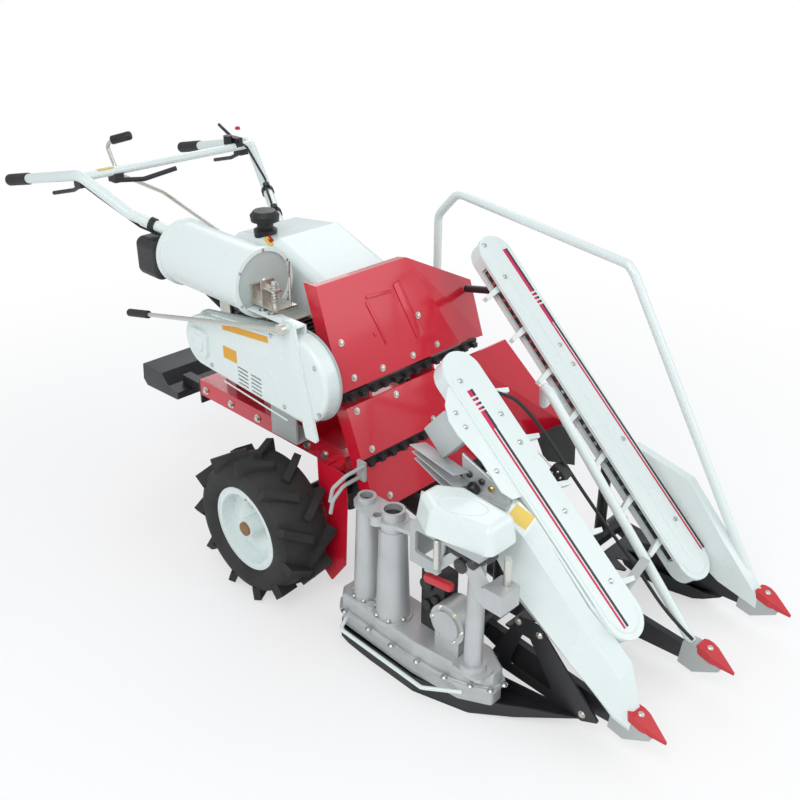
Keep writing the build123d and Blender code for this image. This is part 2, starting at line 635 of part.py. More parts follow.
def make_lower_shield():
    """The red panel below the slot, flared out to the left row."""
    top = SHIELD_FOLD[1] - SLOT_H
    low = SHIELD_LOW[1]
    right, fold = SHIELD_RIGHT_Y, 215.0
    a = (shield_x(low, False), right + 30, low)
    b = (shield_x(low, False), fold, low)
    c = (shield_x(top, False), fold, top)
    d = (shield_x(top, False), right, top)
    mid = (shield_x(low + 44, False), right, low + 44)
    lap = 5.0
    b2, c2 = (b[0], b[1] + lap, b[2]), (c[0], c[1] + lap, c[2])
    main = sheet([a, b2, c2, d, mid], SHIELD_T)
    e = (430, SHIELD_LEFT_Y, 372)
    f = (shield_x(top, False) + 6, SHIELD_LEFT_Y, top - 4)
    wing = sheet([b, e, c], SHIELD_T) + sheet([e, f, c], SHIELD_T)
    trim = block(0, 500, -300, 500, top - 6, top + 20) + block(0, 500, -300, 500, 200, low + 4)
    flange = sheet([(mid[0] - 46, right, mid[2]), mid, d, (d[0] - 46, right, d[2])], SHIELD_T)
    slot_low = (430.0, -190.0, 150.0)
    slots = block(150, 320, slot_low[1], slot_low[2], slot_low[0] - 20, slot_low[0])
    return main + wing + flange - slots - trim


def case_frame(name):
    """The raising case's plane: along it, across it and out of its cover; and its length."""
    y, x0, z0, x1, z1, width = CASES[name]
    plane = Plane(origin=(x0, y, z0), x_dir=(x1 - x0, 0, z1 - z0), z_dir=(z0 - z1, 0, x1 - x0))
    return plane, hypot(x1 - x0, z1 - z0), width


def case_slab(name, sketch, w0, w1):
    """A flat outline in a raising case's plane, thickened between two depths."""
    plane, _, _ = case_frame(name)
    return extrude(plane.offset(w0) * sketch, amount=w1 - w0)


def make_case(name, row_side):
    """A raising case: a closed stadium box with a lipped cover and the fingers' groove."""
    _, length, width = case_frame(name)
    middle = Pos(length / 2, 0)
    box = case_slab(name, middle * SlotCenterToCenter(length, width - 8), -CASE_DEPTH, -3)
    cover = case_slab(name, middle * SlotCenterToCenter(length, width), -9, 0)
    groove_y = row_side * (width / 2 - 4 - GROOVE_DEPTH / 2)
    groove = case_slab(name, Pos(length / 2, groove_y) * Rectangle(length - 40, GROOVE_DEPTH + 1),
                       GROOVE_W0, GROOVE_W1)
    return box + cover - groove


def make_fingers(name, row_side):
    """The raising chain in its groove with the fingers that lift the crop."""
    _, length, width = case_frame(name)
    inner = width / 2 - 4 - GROOVE_DEPTH + SEAT_GAP
    strip_y = row_side * (inner + 5)
    w0, w1 = GROOVE_W0 + 3, GROOVE_W1 - 3
    chain = case_slab(name, Pos(length / 2, strip_y) * Rectangle(length - 48, 10), w0, w1)
    count = int((length - 80) / FINGER_PITCH) + 1
    start = (length - (count - 1) * FINGER_PITCH) / 2
    fingers = []
    for i in range(count):
        u = start + i * FINGER_PITCH
        root, tip = inner + 2, width / 2 + FINGER_REACH
        shape = [(u - 9, row_side * root), (u + 9, row_side * root),
                 (u + 22, row_side * tip), (u + 12, row_side * (tip + 4))]
        fingers.append(case_slab(name, outline(shape), w0 + 1, w1 - 1))
    return chain + fingers


def section_shell(table, wall):
    """A thin shell lofted through five-cornered sections, open along its foot."""
    outer, inner = [], []
    for x, corners in table:
        mid = sum(y for y, _ in corners) / len(corners)
        low = min(z for _, z in corners)
        inset = []
        for y, z in corners:
            shift = wall if y < mid else -wall
            drop = -wall if z > low + 1 else -20.0
            inset.append((y + shift, z + drop))
        for points, kept in ((corners, outer), (inset, inner)):
            kept.append(make_face(Plane.YZ.offset(x) * Polyline(*points, close=True)))
    return loft(outer, ruled=True), loft(inner, ruled=True)


def make_divider_shell(name):
    """A faceted white shell outside one raising case, running down to the divider tip."""
    outer, inner = section_shell(SHELLS[name], SHELL_WALL)
    first, last = SHELLS[name][0][0], SHELLS[name][-1][0]
    core = inner & block(first + SHELL_WALL, last - SHELL_WALL, -600, 600, -100, 900)
    return outer - core


def make_header_frame():
    """The black cross beam, its bevel box and the three arms that carry the tips."""
    y0, y1 = ROW_Y["right"] - 80, ROW_Y["left"] + 16
    beam = Pos(BEAM_X, (y0 + y1) / 2, BEAM_Z) * Rot(90, 0, 0) * Cylinder(BEAM_R, y1 - y0)
    bevel = block(BEAM_X - 52, BEAM_X + 30, -46, 46, BEAM_Z - 44, BEAM_Z + 46)
    bevel = fillet(bevel.edges().filter_by(Axis.Z), 14)
    arms = []
    for y in ROW_Y.values():
        side = [(BEAM_X - 20, BEAM_Z - 22), (BEAM_X - 20, BEAM_Z + 14), (BEAM_X + 60, BEAM_Z + 6),
                (HOLDER_X0 + 30, TIP_Z + 4), (HOLDER_X0 + 30, TIP_Z - 34), (BEAM_X + 140, 40)]
        arms.append(side_slab(outline(side), y - 9, y + 9))
    foot = block(712, 772, ROW_Y["left"] - 9, ROW_Y["left"] + 9, SKID_T + SEAT_GAP, 60)
    return beam + bevel + arms + foot


def make_gusset():
    """The black plate frame beside the right divider, with its open triangle."""
    side = outline([(655, 52), (930, 40), (975, 62), (880, 150), (800, 228), (742, 228)], 6)
    hole = outline([(718, 76), (850, 68), (775, 180), (752, 180)], 8)
    y = ROW_Y["right"] - 30
    plate = side_slab(side - hole, y - 5, y)
    ties = block(700, 716, y, ROW_Y["right"] - 9, 60, 76) + block(900, 916, y, ROW_Y["right"] - 9, 60, 76)
    return plate + ties


def make_skid(name):
    """A black skid pan: a thin curved floor with a raised rim."""
    plan, side = SKIDS[name]
    body = flat_slab(outline(plan, 5), 0, 80) & side_slab(outline(side), -600, 600)
    lifted = [(x, z + SKID_T) for x, z in side]
    inner_plan = offset(outline(plan, 5), -SKID_T)
    inner = flat_slab(inner_plan, 0, 90) & side_slab(outline(lifted), -600, 600)
    return body - inner


def make_cutter():
    """The cutter bar with its row of guards and triangular knife sections."""
    y0, y1 = ROW_Y["right"] + 14, ROW_Y["left"] - 14
    z = KNIFE_Z
    bar = block(KNIFE_X, KNIFE_X + 42, y0, y1, z, z + 6)
    count = int((y1 - y0) / KNIFE_PITCH)
    pitch = (y1 - y0) / count
    teeth = [(KNIFE_X + 14, y0)]
    for i in range(count):
        y = y0 + i * pitch
        teeth += [(KNIFE_X + 40, y), (KNIFE_X + 88, y + pitch * 0.42),
                  (KNIFE_X + 88, y + pitch * 0.58), (KNIFE_X + 40, y + pitch)]
    teeth += [(KNIFE_X + 14, y1)]
    clean = [p for i, p in enumerate(teeth) if i == 0 or p != teeth[i - 1]]
    knife = flat_slab(outline(clean), z + 6, z + 10)
    return bar + knife


def make_binder_case():
    """The cast gear case of the binding unit: flanged base, tapered columns, round cover."""
    base = flat_slab(outline(BASE_PLAN, 10), BASE_Z0, BASE_TOP)
    base = fillet(base.edges().group_by(Axis.Z)[-1], 8)
    flange = flat_slab(offset(outline(BASE_PLAN, 10), 8), BASE_FLANGE_Z - 10, BASE_FLANGE_Z)
    case = base + flange
    for x, y, foot_r, head_r, top in COLUMNS[:2]:
        height = top - BASE_TOP + 12
        cone = Cone(foot_r, head_r, height, align=(Align.CENTER, Align.CENTER, Align.MIN))
        case += Pos(x, y, BASE_TOP - 12) * cone
        case += Pos(x, y, BASE_TOP + 2) * Cylinder(foot_r + 6, 10)
    drum = side_slab(Pos(636, 214) * Circle(50) + Pos(636, 170) * Rectangle(72, 90), -316, -256)
    ring = side_slab(Pos(636, 214) * Circle(36), -322, -316)
    plug = Pos(404, -330, BASE_TOP + 6) * Cylinder(12, 14)
    feet = [block(x, x + 60, -300, -250, SKID_T + SEAT_GAP, BASE_Z0) for x in (400, 620)]
    return case + drum + ring + plug + feet


def make_binder_post():
    """The plain vertical post at the front of the binding unit, with its foot collar."""
    x, y, foot_r, head_r, top = COLUMNS[2]
    low = BASE_TOP
    post = Pos(x, y, low) * Cone(foot_r, head_r, top - low, align=(
        Align.CENTER, Align.CENTER, Align.MIN))
    collar = Pos(x, y, low + 12) * Cylinder(foot_r + 9, 24)
    flange = flat_slab(Pos(x, y) * RectangleRounded(84, 58, 12), low, low + 8)
    return post + collar + flange


def make_discharge_arm():
    """The cast link over the two columns, with its open bosses."""
    (x0, y0, _, r0, top0), (x1, y1, _, r1, top1) = COLUMNS[:2]
    z = max(top0, top1) + 2
    link = belt_outline((x0, y0), r0 + 6, (x1, y1), r1 + 4)
    arm = flat_slab(link, z, z + 12)
    arm += Pos(x0, y0, (top0 + z) / 2) * Cylinder(r0 - 3, z - top0)
    arm += Pos(x1, y1, (top1 + z) / 2) * Cylinder(r1 - 3, z - top1)
    reach = belt_outline((x1, y1), r1 - 6, (x1 + 84, y1 + 10), 20)
    arm += flat_slab(reach, z, z + 10)
    for x, y, r, rise in ((x0, y0, r0 - 2, 26), (x1, y1, r1 - 4, 34), (x1 - 22, y1 - 30, 17, 22)):
        arm += Pos(x, y, z + rise / 2) * Cylinder(r, rise)
        arm -= Pos(x, y, z + rise - 8) * Cylinder(r - 7, 18)
    return arm


def make_knotter_frame():
    """The grey casting that carries the knotter: windowed cheek, deck and back wall."""
    x0, x1 = KNOT_X0, KNOT_X1
    y0, y1 = KNOT_Y0, KNOT_Y1
    z0, z1 = KNOT_Z0, KNOT_Z1
    cheek = outline([(x0, z0), (x0 + 86, z0), (x0 + 86, z0 + 36), (x0 + 100, z1 - 30), (x0 + 100, z1),
                     (x0, z1)], 10)
    window = Pos(x0 + 46, (z0 + z1) / 2 + 8) * RectangleRounded(60, z1 - z0 - 44, 8)
    wall = side_slab(cheek - window, y0, y0 + 9)
    deck = block(x0, x1, y0, y1, z1 - 10, z1)
    back = block(x0, x0 + 9, y0, y1, z0, z1)
    hook_wheel = Pos(x0 + 102, (y0 + y1) / 2, z1 - 34) * Cylinder(34, 48)
    bill = Pos(x0 + 66, (y0 + y1) / 2 - 10, z1 - 30) * Cylinder(20, 40)
    return wall + deck + back + hook_wheel + bill


def make_knotter_cover():
    """The smooth white cover of the knotter, crowned and rounded."""
    x0, x1 = KNOT_X0 - 12, KNOT_X1 + 14
    y0, y1 = KNOT_Y0 - 12, KNOT_Y1 + 8
    plan = outline([(x0, y0 + 40), (x0 + 70, y0), (x1, y0 + 30), (x1, y1 - 14), (x0 + 60, y1),
                    (x0, y1 - 40)], 22)
    base = Plane.XY.offset(KNOT_Z1)
    body = extrude(base * plan, amount=KNOT_COVER_H, taper=9)
    body = fillet(body.edges().group_by(Axis.Z)[-1], 18)
    inner = extrude(base * offset(plan, -5), amount=KNOT_COVER_H - 5, taper=9)
    return body - inner


def make_needle_arm():
    """The swept casting below the knotter with its clamp block and zinc stud."""
    y0, y1 = -352.0, -326.0
    top_x, top_z = COLUMNS[2][0], COLUMNS[2][4]
    side = [(KNOT_X0 + 40, 360), (KNOT_X0 + 40, 380), (620, 396), (top_x - 46, top_z + 18),
            (top_x + 8, top_z + 10), (756, 404), (790, 402), (790, 362), (750, 362),
            (top_x + 2, top_z - 14), (top_x - 40, top_z - 6), (630, 372)]
    arm = side_slab(outline(side, 5), y0, y1)
    block_y1 = y1 + 34
    clamp = block(762, 812, y0, block_y1, 358, 408)
    stud = Pos(790, (y1 + block_y1) / 2, (408 + KNOT_Z1) / 2) * Cylinder(7, KNOT_Z1 - 408)
    return arm + clamp + stud


def make_straw_guides():
    """Two sprung rods that lead the sheaf past the right wheel."""
    guides = []
    for drop in (0, 34):
        guides.append(rod([(258 - drop / 3, SHIELD_RIGHT_Y - 3, 424 - drop),
                           (256 - drop / 3, -268, 420 - drop), (230, -290, 382 - drop),
                           (222, -292, 342 - drop)], 5, [16, 30]))
    root = block(236, 262, SHIELD_RIGHT_Y - 8, SHIELD_RIGHT_Y - SEAT_GAP, 380, 434)
    return root + guides


def make_base_rod():
    """The bent white rod round the foot of the gear case."""
    return rod([(330, -338, 78), (344, -378, 66), (620, -380, 60), (700, -330, 66)], 5, [18, 18])


def make_guard_tube():
    """The white crop guard bar over the left row."""
    y = ROW_Y["left"] + 4
    return rod([(1012, y, 116), (566, y, 838), (545, y, 858), (-24, y, 926), (-96, y, 848),
                (-96, y, 600), (-96, 250, 452), (-96, RAIL_OUT_Y, 396)], GUARD_TUBE_R,
               [16, 16, 46, 46, 40, 30])


def make_middle_tube():
    """The white bar that rises from the middle tip to the left raising case."""
    y = ROW_Y["middle"]
    return rod([(1004, y, 112), (528, y, 624), (470, 225, 512), (440, 330, 528)], GUARD_TUBE_R,
               [30, 24])


def make_case_posts():
    """The posts that carry the raising cases on the header beam, and the left one's top stay."""
    posts = []
    for y, x0, z0, x1, z1, _ in CASES.values():
        x = BEAM_X - 4
        z = z0 + (z1 - z0) * (x - x0) / (x1 - x0) - CASE_DEPTH
        posts.append(rod([(x, y, BEAM_Z + 4), (x, y, z)], 15))
    stay = rod([(101, 336, 700), (250, 336, 730)], 10)
    return stay + posts


def make_tip_holder(row):
    """The grey wedge that carries one divider tip."""
    y = ROW_Y[row]
    side = [(HOLDER_X0, 50), (HOLDER_X0 + 6, TIP_Z + 24), (HOLDER_X0 + 34, TIP_Z + 26),
            (TIP_X - 30, TIP_Z - 4), (TIP_X - 30, TIP_Z - 12), (HOLDER_X0 + 40, 42)]
    wedge = side_slab(outline(side, 3), y - HOLDER_HALF, y + HOLDER_HALF)
    return wedge


def make_tip(row):
    """A red leaf-shaped point, crowned along its middle."""
    y = ROW_Y[row]
    x0, x1 = HOLDER_X0 + 34, TIP_X
    plan = outline([(x0, y - 10), (x0 + 16, y - TIP_HALF_W), (x0 + 44, y - TIP_HALF_W), (x1, y - 2),
                    (x1, y + 2), (x0 + 44, y + TIP_HALF_W), (x0 + 16, y + TIP_HALF_W), (x0, y + 10)])
    crown = outline([(x0, TIP_Z + 16), (x0 + 8, TIP_Z + 32), (x0 + 30, TIP_Z + 30), (x1, TIP_Z - 6),
                     (x1, TIP_Z - 12), (x0 + 40, TIP_Z + 4)])
    return flat_slab(plan, TIP_Z - 40, TIP_Z + 60) & side_slab(crown, y - 60, y + 60)


def make_lug_chain(z, y0, y1, upper):
    """A crop conveying chain: its guide, and black lugs that stand out of the slot."""
    x = shield_x(z, upper)
    guide = block(x - 12, x - 1, y0, y1, z - 11, z + 11)
    count = int((y1 - y0 - 30) / LUG_PITCH) + 1
    lugs = []
    for i in range(count):
        y = y0 + 15 + i * LUG_PITCH
        lugs.append(block(x - 4, x + 14, y - 7, y + 7, z - 6, z + 6))
    return guide + lugs


def make_side_plate():
    """The red plate between the right wheel and the binding unit."""
    side = [(118, 396), (128, 66), (160, 40), (216, 118), (228, 330), (218, 396)]
    plate = side_slab(outline(side, 6), SIDE_PLATE_Y, SIDE_PLATE_Y + 3)
    spacers = [block(x, x + 22, SIDE_PLATE_Y + 3, -RAIL_OUT_Y, 372, 390) for x in (124, 150)]
    return plate + spacers


def seat(host, *guests):
    """Cut the room for other pieces out of the piece that they sit in."""
    for guest in guests:
        NODES[host] = NODES[host] - NODES[guest]


# Which piece has room cut in it for which others
SEATS = [
    ("gearbox", ["header_frame"]),
    ("binder_case", ["skids"]),
    ("header_frame", ["binder_case", "skids"]),
    ("base_rod", ["binder_case", "skids"]),
    ("needle_arm", ["binder_post", "knotter_frame"]),
    ("discharge_arm", ["knotter_frame"]),
    ("brake_levers", ["handlebar"]),
    ("air_filter", ["handlebar"]),
    ("control_cables", ["handlebar", "throttle", "brake_levers", "fuel_tank", "canister_tray",
                        "air_filter"]),
    ("clutch_lever", ["handlebar"]),
    ("throttle", ["handlebar"]),
    ("gear_lever", ["fuel_tank"]),
    ("canister_tray", ["twine_canister"]),
    ("case_posts", ["header_frame", "raising_case_left", "raising_case_right", "shield_upper"]),
    ("lug_chains", ["shield_lower", "shield_upper"]),
    ("chassis_frame", ["lug_chains"]),
    ("fan_housing", ["engine_block"]),
    ("tank_cap", ["fuel_tank"]),
    ("hand_lever_grip", ["hand_lever"]),
    ("tip_holders", ["header_frame", "divider_tips"]),
    ("guard_tube", ["chassis_frame", "tip_holders", "divider_tips"]),
    ("middle_tube", ["raising_case_left", "tip_holders", "divider_tips"]),
    ("divider_shell_left", ["raising_case_left", "tip_holders", "divider_tips", "guard_tube"]),
    ("divider_shell_right", ["raising_case_right", "tip_holders", "divider_tips"]),
]
NODES = {}


def add(name, shape):
    """Keep one named piece."""
    NODES[name] = shape


def main():
    tyre, rim, shaft = make_tyre(), make_rim(), make_half_axle()
    place = Pos(0, TRACK / 2, TYRE_R)
    for name, shape in (("tyre", tyre), ("rim", rim), ("half_axle", shaft)):
        left = place * shape
        add(name + "_left", left)
        add(name + "_right", mirror(left, about=Plane.XZ))
    add("gearbox", make_gearbox())
    add("chassis_frame", make_chassis())
    add("engine_block", make_engine())
    add("fan_housing", make_fan_housing())
    add("muffler", make_muffler())
    add("air_filter", make_air_filter())
    add("fuel_tank", make_tank())
    add("tank_cap", make_tank_cap())
    add("belt_guard", make_belt_guard())
    add("guard_back_plate", make_back_plate())
    add("guard_post", make_guard_post())
    add("hand_lever", make_hand_lever())
    add("hand_lever_grip", make_lever_grip())
    add("twine_canister", make_canister())
    add("canister_tray", make_tray())
    add("twine_tensioner", make_tensioner())
    add("handlebar", make_handlebar())
    add("grips", make_grip(1) + make_grip(-1))
    add("brake_levers", make_brake_lever(1) + make_brake_lever(-1))
    add("clutch_lever", make_clutch_lever())
    add("throttle", make_throttle())
    add("gear_lever", make_gear_lever())
    add("control_cables", make_cables())
    add("ballast_box", make_rear_box())
    add("shield_upper", make_upper_shield())
    add("shield_lower", make_lower_shield())
    for name, row_side in (("left", -1), ("right", 1)):
        add("raising_case_" + name, make_case(name, row_side))
        add("divider_shell_" + name, make_divider_shell(name))
    add("raising_fingers", make_fingers("left", -1) + make_fingers("right", 1))
    add("skids", make_skid("left") + make_skid("right"))
    add("case_posts", make_case_posts())
    add("header_frame", make_header_frame() + make_gusset())
    add("cutter_bar", make_cutter())
    add("binder_case", make_binder_case())
    add("binder_post", make_binder_post())
    add("discharge_arm", make_discharge_arm())
    add("knotter_frame", make_knotter_frame())
    add("knotter_cover", make_knotter_cover())
    add("needle_arm", make_needle_arm())
    add("straw_guides", make_straw_guides())
    add("base_rod", make_base_rod())
    add("guard_tube", make_guard_tube())
    add("middle_tube", make_middle_tube())
    add("tip_holders", Part() + [make_tip_holder(row) for row in ROW_Y])
    add("divider_tips", Part() + [make_tip(row) for row in ROW_Y])
    add("lug_chains", make_lug_chain(SHIELD_FOLD[1] - 11, -198.0, 292.0, True)
        + make_lug_chain(420.0, -198.0, 158.0, False))
    add("side_plate", make_side_plate())
    for host, guests in SEATS:
        seat(host, *guests)
    rear_x = BAR_ROUTE[0][0] - GRIP_END
    right_y = -(TRACK + TYRE_W) / 2 - LUG_OVERHANG
    left_y = max(y for _, corners in SHELLS["left"] for y, _ in corners)
    middle = Pos(-(rear_x + TIP_X) / 2, -(right_y + left_y) / 2, 0)
    os.makedirs("parts", exist_ok=True)
    for name, shape in NODES.items():
        export_step(middle * shape, f"parts/{name}.step")


main()
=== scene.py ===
import math
import bpy
from mathutils import Matrix, Vector


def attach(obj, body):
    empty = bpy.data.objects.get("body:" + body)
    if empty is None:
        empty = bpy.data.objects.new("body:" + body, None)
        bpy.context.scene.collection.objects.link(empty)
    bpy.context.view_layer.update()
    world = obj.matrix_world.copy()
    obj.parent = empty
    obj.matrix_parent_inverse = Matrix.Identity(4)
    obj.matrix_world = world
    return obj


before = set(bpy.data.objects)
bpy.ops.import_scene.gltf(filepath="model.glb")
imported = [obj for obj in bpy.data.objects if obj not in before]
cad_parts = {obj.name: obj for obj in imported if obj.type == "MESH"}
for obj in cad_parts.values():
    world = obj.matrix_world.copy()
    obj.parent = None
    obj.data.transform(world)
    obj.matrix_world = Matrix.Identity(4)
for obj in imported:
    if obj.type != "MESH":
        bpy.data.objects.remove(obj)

bl_info = {
    "name": "Reaper Binder Looks",
    "version": (1, 0, 0),
    "blender": (4, 5, 0),
    "location": "View3D > Sidebar > Reaper Binder",
    "description": "Dresses a packed walk-behind reaper binder with finishes and small detail",
    "category": "Object",
}

# The part's source is drawn with the axle line at x = 0 and the wheels' middle at y = 0, in
# millimetres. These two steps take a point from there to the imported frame.
SHIFT_X = 49.0
SHIFT_Y = -27.0

# The middle line of each raising case's cover: y, top x, top z, bottom x, bottom z
CASES = {
    "left": (340.0, 204.0, 823.0, 880.0, 187.0),
    "right": (-95.0, 470.0, 712.0, 947.0, 295.0),
}
# The front of the red shield, as x and z
SHIELD_TOP = (95.0, 847.0)
SHIELD_FOLD = (180.0, 588.0)
SHIELD_LOW = (300.0, 298.0)
# The belt guard's outer face
GUARD_Y = -290.0
# The twine canister's axis and the front of its rim
CAN_Y, CAN_Z, CAN_FRONT_X = -225.0, 817.0, -76.0
# The wheels' middle planes, on both sides, and their axle
WHEEL_Y, WHEEL_Z = 333.0, 203.0
# The chassis rails' outer faces and the height of their bolts
RAIL_Y, RAIL_BOLT_Z = 198.0, 386.0

# How far a finish's roughness strays to both sides, and the depth of its relief in metres
GLOSS_SPREAD = 0.06
RELIEF_DEPTH = 0.001

# In metres: a bolt's washer, how far the head sinks into it, and a label or a painted line
WASHER = 0.0014
HEAD_SINK = 0.0001
LABEL_THICK = 0.0008
# How far the middle of a label or a painted line stands off a plane face, in millimetres
LABEL_LIFT = 0.4
# The floor lies a little under the tyres, so that no two faces share a plane
FLOOR_Z = -0.0006
UP = (0, 0, 1)

MATERIALS = {}


def place(x, y, z):
    """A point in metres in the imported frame."""
    return Vector((x + SHIFT_X, y + SHIFT_Y, z)) / 1000.0


def case_frame(name):
    """A raising case's origin, its direction down the case and the normal of its cover."""
    y, x0, z0, x1, z1 = CASES[name]
    along = Vector((x1 - x0, 0.0, z1 - z0)).normalized()
    return Vector((x0, y, z0)), along, along.cross(Vector((0, 1, 0)))


def on_case(name, along, across, out):
    """A point on a raising case, measured from the top of its cover."""
    origin, u, n = case_frame(name)
    p = origin + u * along + Vector((0, 1, 0)) * across + n * out
    return place(*p)


def shield_panel(z):
    """The upper and lower edge of the shield's panel at a height, each as x and z."""
    if z > SHIELD_FOLD[1]:
        return SHIELD_TOP, SHIELD_FOLD
    return SHIELD_FOLD, SHIELD_LOW


def shield_x(z):
    """How far forward the shield's front is at a height."""
    (x0, z0), (x1, z1) = shield_panel(z)
    return x0 + (x1 - x0) * (z0 - z) / (z0 - z1)


def shield_normal(z):
    """The shield's outward direction at a height."""
    (x0, z0), (x1, z1) = shield_panel(z)
    return Vector((z0 - z1, 0.0, x1 - x0)).normalized()


def material(name, base, rough, fleck, metallic=0.0, coat=0.0, fleck_scale=6.0, bump=0.0,
             bump_scale=300.0):
    """A finish on Object coordinates: two colours mixed by noise, and a fine bump where it has one."""
    mat = bpy.data.materials.new(name)
    mat.use_nodes = True
    tree = mat.node_tree
    shader = tree.nodes["Principled BSDF"]
    shader.inputs["Metallic"].default_value = metallic
    shader.inputs["Coat Weight"].default_value = coat
    shader.inputs["Coat Roughness"].default_value = 0.08
    coords = tree.nodes.new("ShaderNodeTexCoord")
    cloud = tree.nodes.new("ShaderNodeTexNoise")
    cloud.inputs["Scale"].default_value = fleck_scale
    cloud.inputs["Detail"].default_value = 6.0
    tree.links.new(coords.outputs["Object"], cloud.inputs["Vector"])
    ramp = tree.nodes.new("ShaderNodeValToRGB")
    low, high = ramp.color_ramp.elements
    low.position, high.position = 0.15, 0.85
    low.color = (*fleck, 1.0)
    high.color = (*base, 1.0)
    tree.links.new(cloud.outputs["Fac"], ramp.inputs["Fac"])
    tree.links.new(ramp.outputs["Color"], shader.inputs["Base Color"])
    gloss = tree.nodes.new("ShaderNodeMapRange")
    gloss.inputs["From Min"].default_value = 0.3
    gloss.inputs["From Max"].default_value = 0.7
    gloss.inputs["To Min"].default_value = max(0.02, rough - GLOSS_SPREAD)
    gloss.inputs["To Max"].default_value = min(1.0, rough + GLOSS_SPREAD)
    tree.links.new(cloud.outputs["Fac"], gloss.inputs["Value"])
    tree.links.new(gloss.outputs["Result"], shader.inputs["Roughness"])
    if bump:
        grain = tree.nodes.new("ShaderNodeTexNoise")
        grain.inputs["Scale"].default_value = bump_scale
        grain.inputs["Detail"].default_value = 3.0
        tree.links.new(coords.outputs["Object"], grain.inputs["Vector"])
        relief = tree.nodes.new("ShaderNodeBump")
        relief.inputs["Strength"].default_value = bump
        relief.inputs["Distance"].default_value = RELIEF_DEPTH
        tree.links.new(grain.outputs["Fac"], relief.inputs["Height"])
        tree.links.new(relief.outputs["Normal"], shader.inputs["Normal"])
    MATERIALS[name] = mat


def make_floor_finish():
    """A white floor that keeps the shadows and runs out into the white world."""
    mat = bpy.data.materials.new("floor")
    mat.use_nodes = True
    tree = mat.node_tree
    shader = tree.nodes["Principled BSDF"]
    shader.inputs["Base Color"].default_value = (0.92, 0.92, 0.92, 1.0)
    shader.inputs["Roughness"].default_value = 0.9
    shader.inputs["Specular IOR Level"].default_value = 0.1
    coords = tree.nodes.new("ShaderNodeTexCoord")
    reach = tree.nodes.new("ShaderNodeVectorMath")
    reach.operation = "LENGTH"
    tree.links.new(coords.outputs["Object"], reach.inputs[0])
    fade = tree.nodes.new("ShaderNodeMapRange")
    fade.interpolation_type = "SMOOTHSTEP"
    fade.inputs["From Min"].default_value = 1.0
    fade.inputs["From Max"].default_value = 2.6
    fade.inputs["To Min"].default_value = 0.55
    fade.inputs["To Max"].default_value = 1.0
    tree.links.new(reach.outputs["Value"], fade.inputs["Value"])
    rays = tree.nodes.new("ShaderNodeLightPath")
    share = tree.nodes.new("ShaderNodeMath")
    share.operation = "MULTIPLY"
    tree.links.new(fade.outputs["Result"], share.inputs[0])
    tree.links.new(rays.outputs["Is Camera Ray"], share.inputs[1])
    glow = tree.nodes.new("ShaderNodeEmission")
    mix = tree.nodes.new("ShaderNodeMixShader")
    tree.links.new(share.outputs["Value"], mix.inputs["Fac"])
    tree.links.new(shader.outputs["BSDF"], mix.inputs[1])
    tree.links.new(glow.outputs["Emission"], mix.inputs[2])
    tree.links.new(mix.outputs["Shader"], tree.nodes["Material Output"].inputs["Surface"])
    MATERIALS["floor"] = mat


def make_materials(red, white):
    """All the finishes, by name."""
    material("white_paint", white, 0.28, coat=0.4, fleck=tuple(c * 0.975 for c in white))
    material("red_paint", red, 0.22, coat=0.6, fleck=tuple(c * 0.86 for c in red), bump=0.03,
             bump_scale=140.0)
    material("black_paint", (0.012, 0.012, 0.014), 0.36, fleck=(0.03, 0.03, 0.032), bump=0.08)
    material("grey_paint", (0.5, 0.53, 0.52), 0.42, fleck=(0.38, 0.4, 0.4), bump=0.1)
    material("cast_alloy", (0.62, 0.64, 0.64), 0.42, metallic=0.45, fleck=(0.46, 0.48, 0.48),
             fleck_scale=14.0, bump=0.45, bump_scale=420.0)
    material("engine_grey", (0.16, 0.16, 0.155), 0.55, metallic=0.3, fleck=(0.05, 0.05, 0.05),
             fleck_scale=20.0, bump=0.5, bump_scale=350.0)
    material("pale_grey", (0.5, 0.56, 0.54), 0.4, fleck=(0.46, 0.52, 0.5), bump=0.05)
    material("zinc", (0.66, 0.63, 0.54), 0.3, metallic=0.9, fleck=(0.7, 0.71, 0.68),
             fleck_scale=18.0, bump=0.06)
    material("tyre_rubber", (0.014, 0.014, 0.014), 0.72, fleck=(0.034, 0.033, 0.031),
             fleck_scale=12.0, bump=0.35, bump_scale=500.0)
    material("grip_rubber", (0.011, 0.011, 0.012), 0.6, fleck=(0.022, 0.022, 0.022), bump=0.3,
             bump_scale=700.0)
    material("black_plastic", (0.012, 0.012, 0.013), 0.42, fleck=(0.024, 0.024, 0.024), bump=0.15,
             bump_scale=800.0)
    material("white_plastic", (0.78, 0.85, 0.83), 0.3, fleck=(0.75, 0.82, 0.8), bump=0.02)
    material("dark_steel", (0.045, 0.047, 0.05), 0.35, metallic=0.6, fleck=(0.09, 0.09, 0.09),
             fleck_scale=30.0, bump=0.1)
    material("hub_bronze", (0.36, 0.2, 0.09), 0.45, metallic=0.5, fleck=(0.2, 0.12, 0.06))
    material("red_plastic", (0.62, 0.03, 0.04), 0.35, fleck=(0.5, 0.03, 0.04), bump=0.08)
    material("steel", (0.66, 0.67, 0.68), 0.25, metallic=1.0, fleck=(0.5, 0.5, 0.5), fleck_scale=40.0,
             bump=0.05)
    material("brass", (0.7, 0.52, 0.2), 0.3, metallic=1.0, fleck=(0.55, 0.4, 0.16))
    material("amber_label", (0.8, 0.4, 0.025), 0.45, fleck=(0.74, 0.36, 0.02))
    material("yellow_label", (0.86, 0.62, 0.1), 0.45, fleck=(0.8, 0.56, 0.09))
    material("stripe_red", (0.66, 0.012, 0.1), 0.35, fleck=(0.6, 0.012, 0.085))
    material("stripe_dark", (0.02, 0.018, 0.022), 0.4, fleck=(0.035, 0.03, 0.035))
    make_floor_finish()


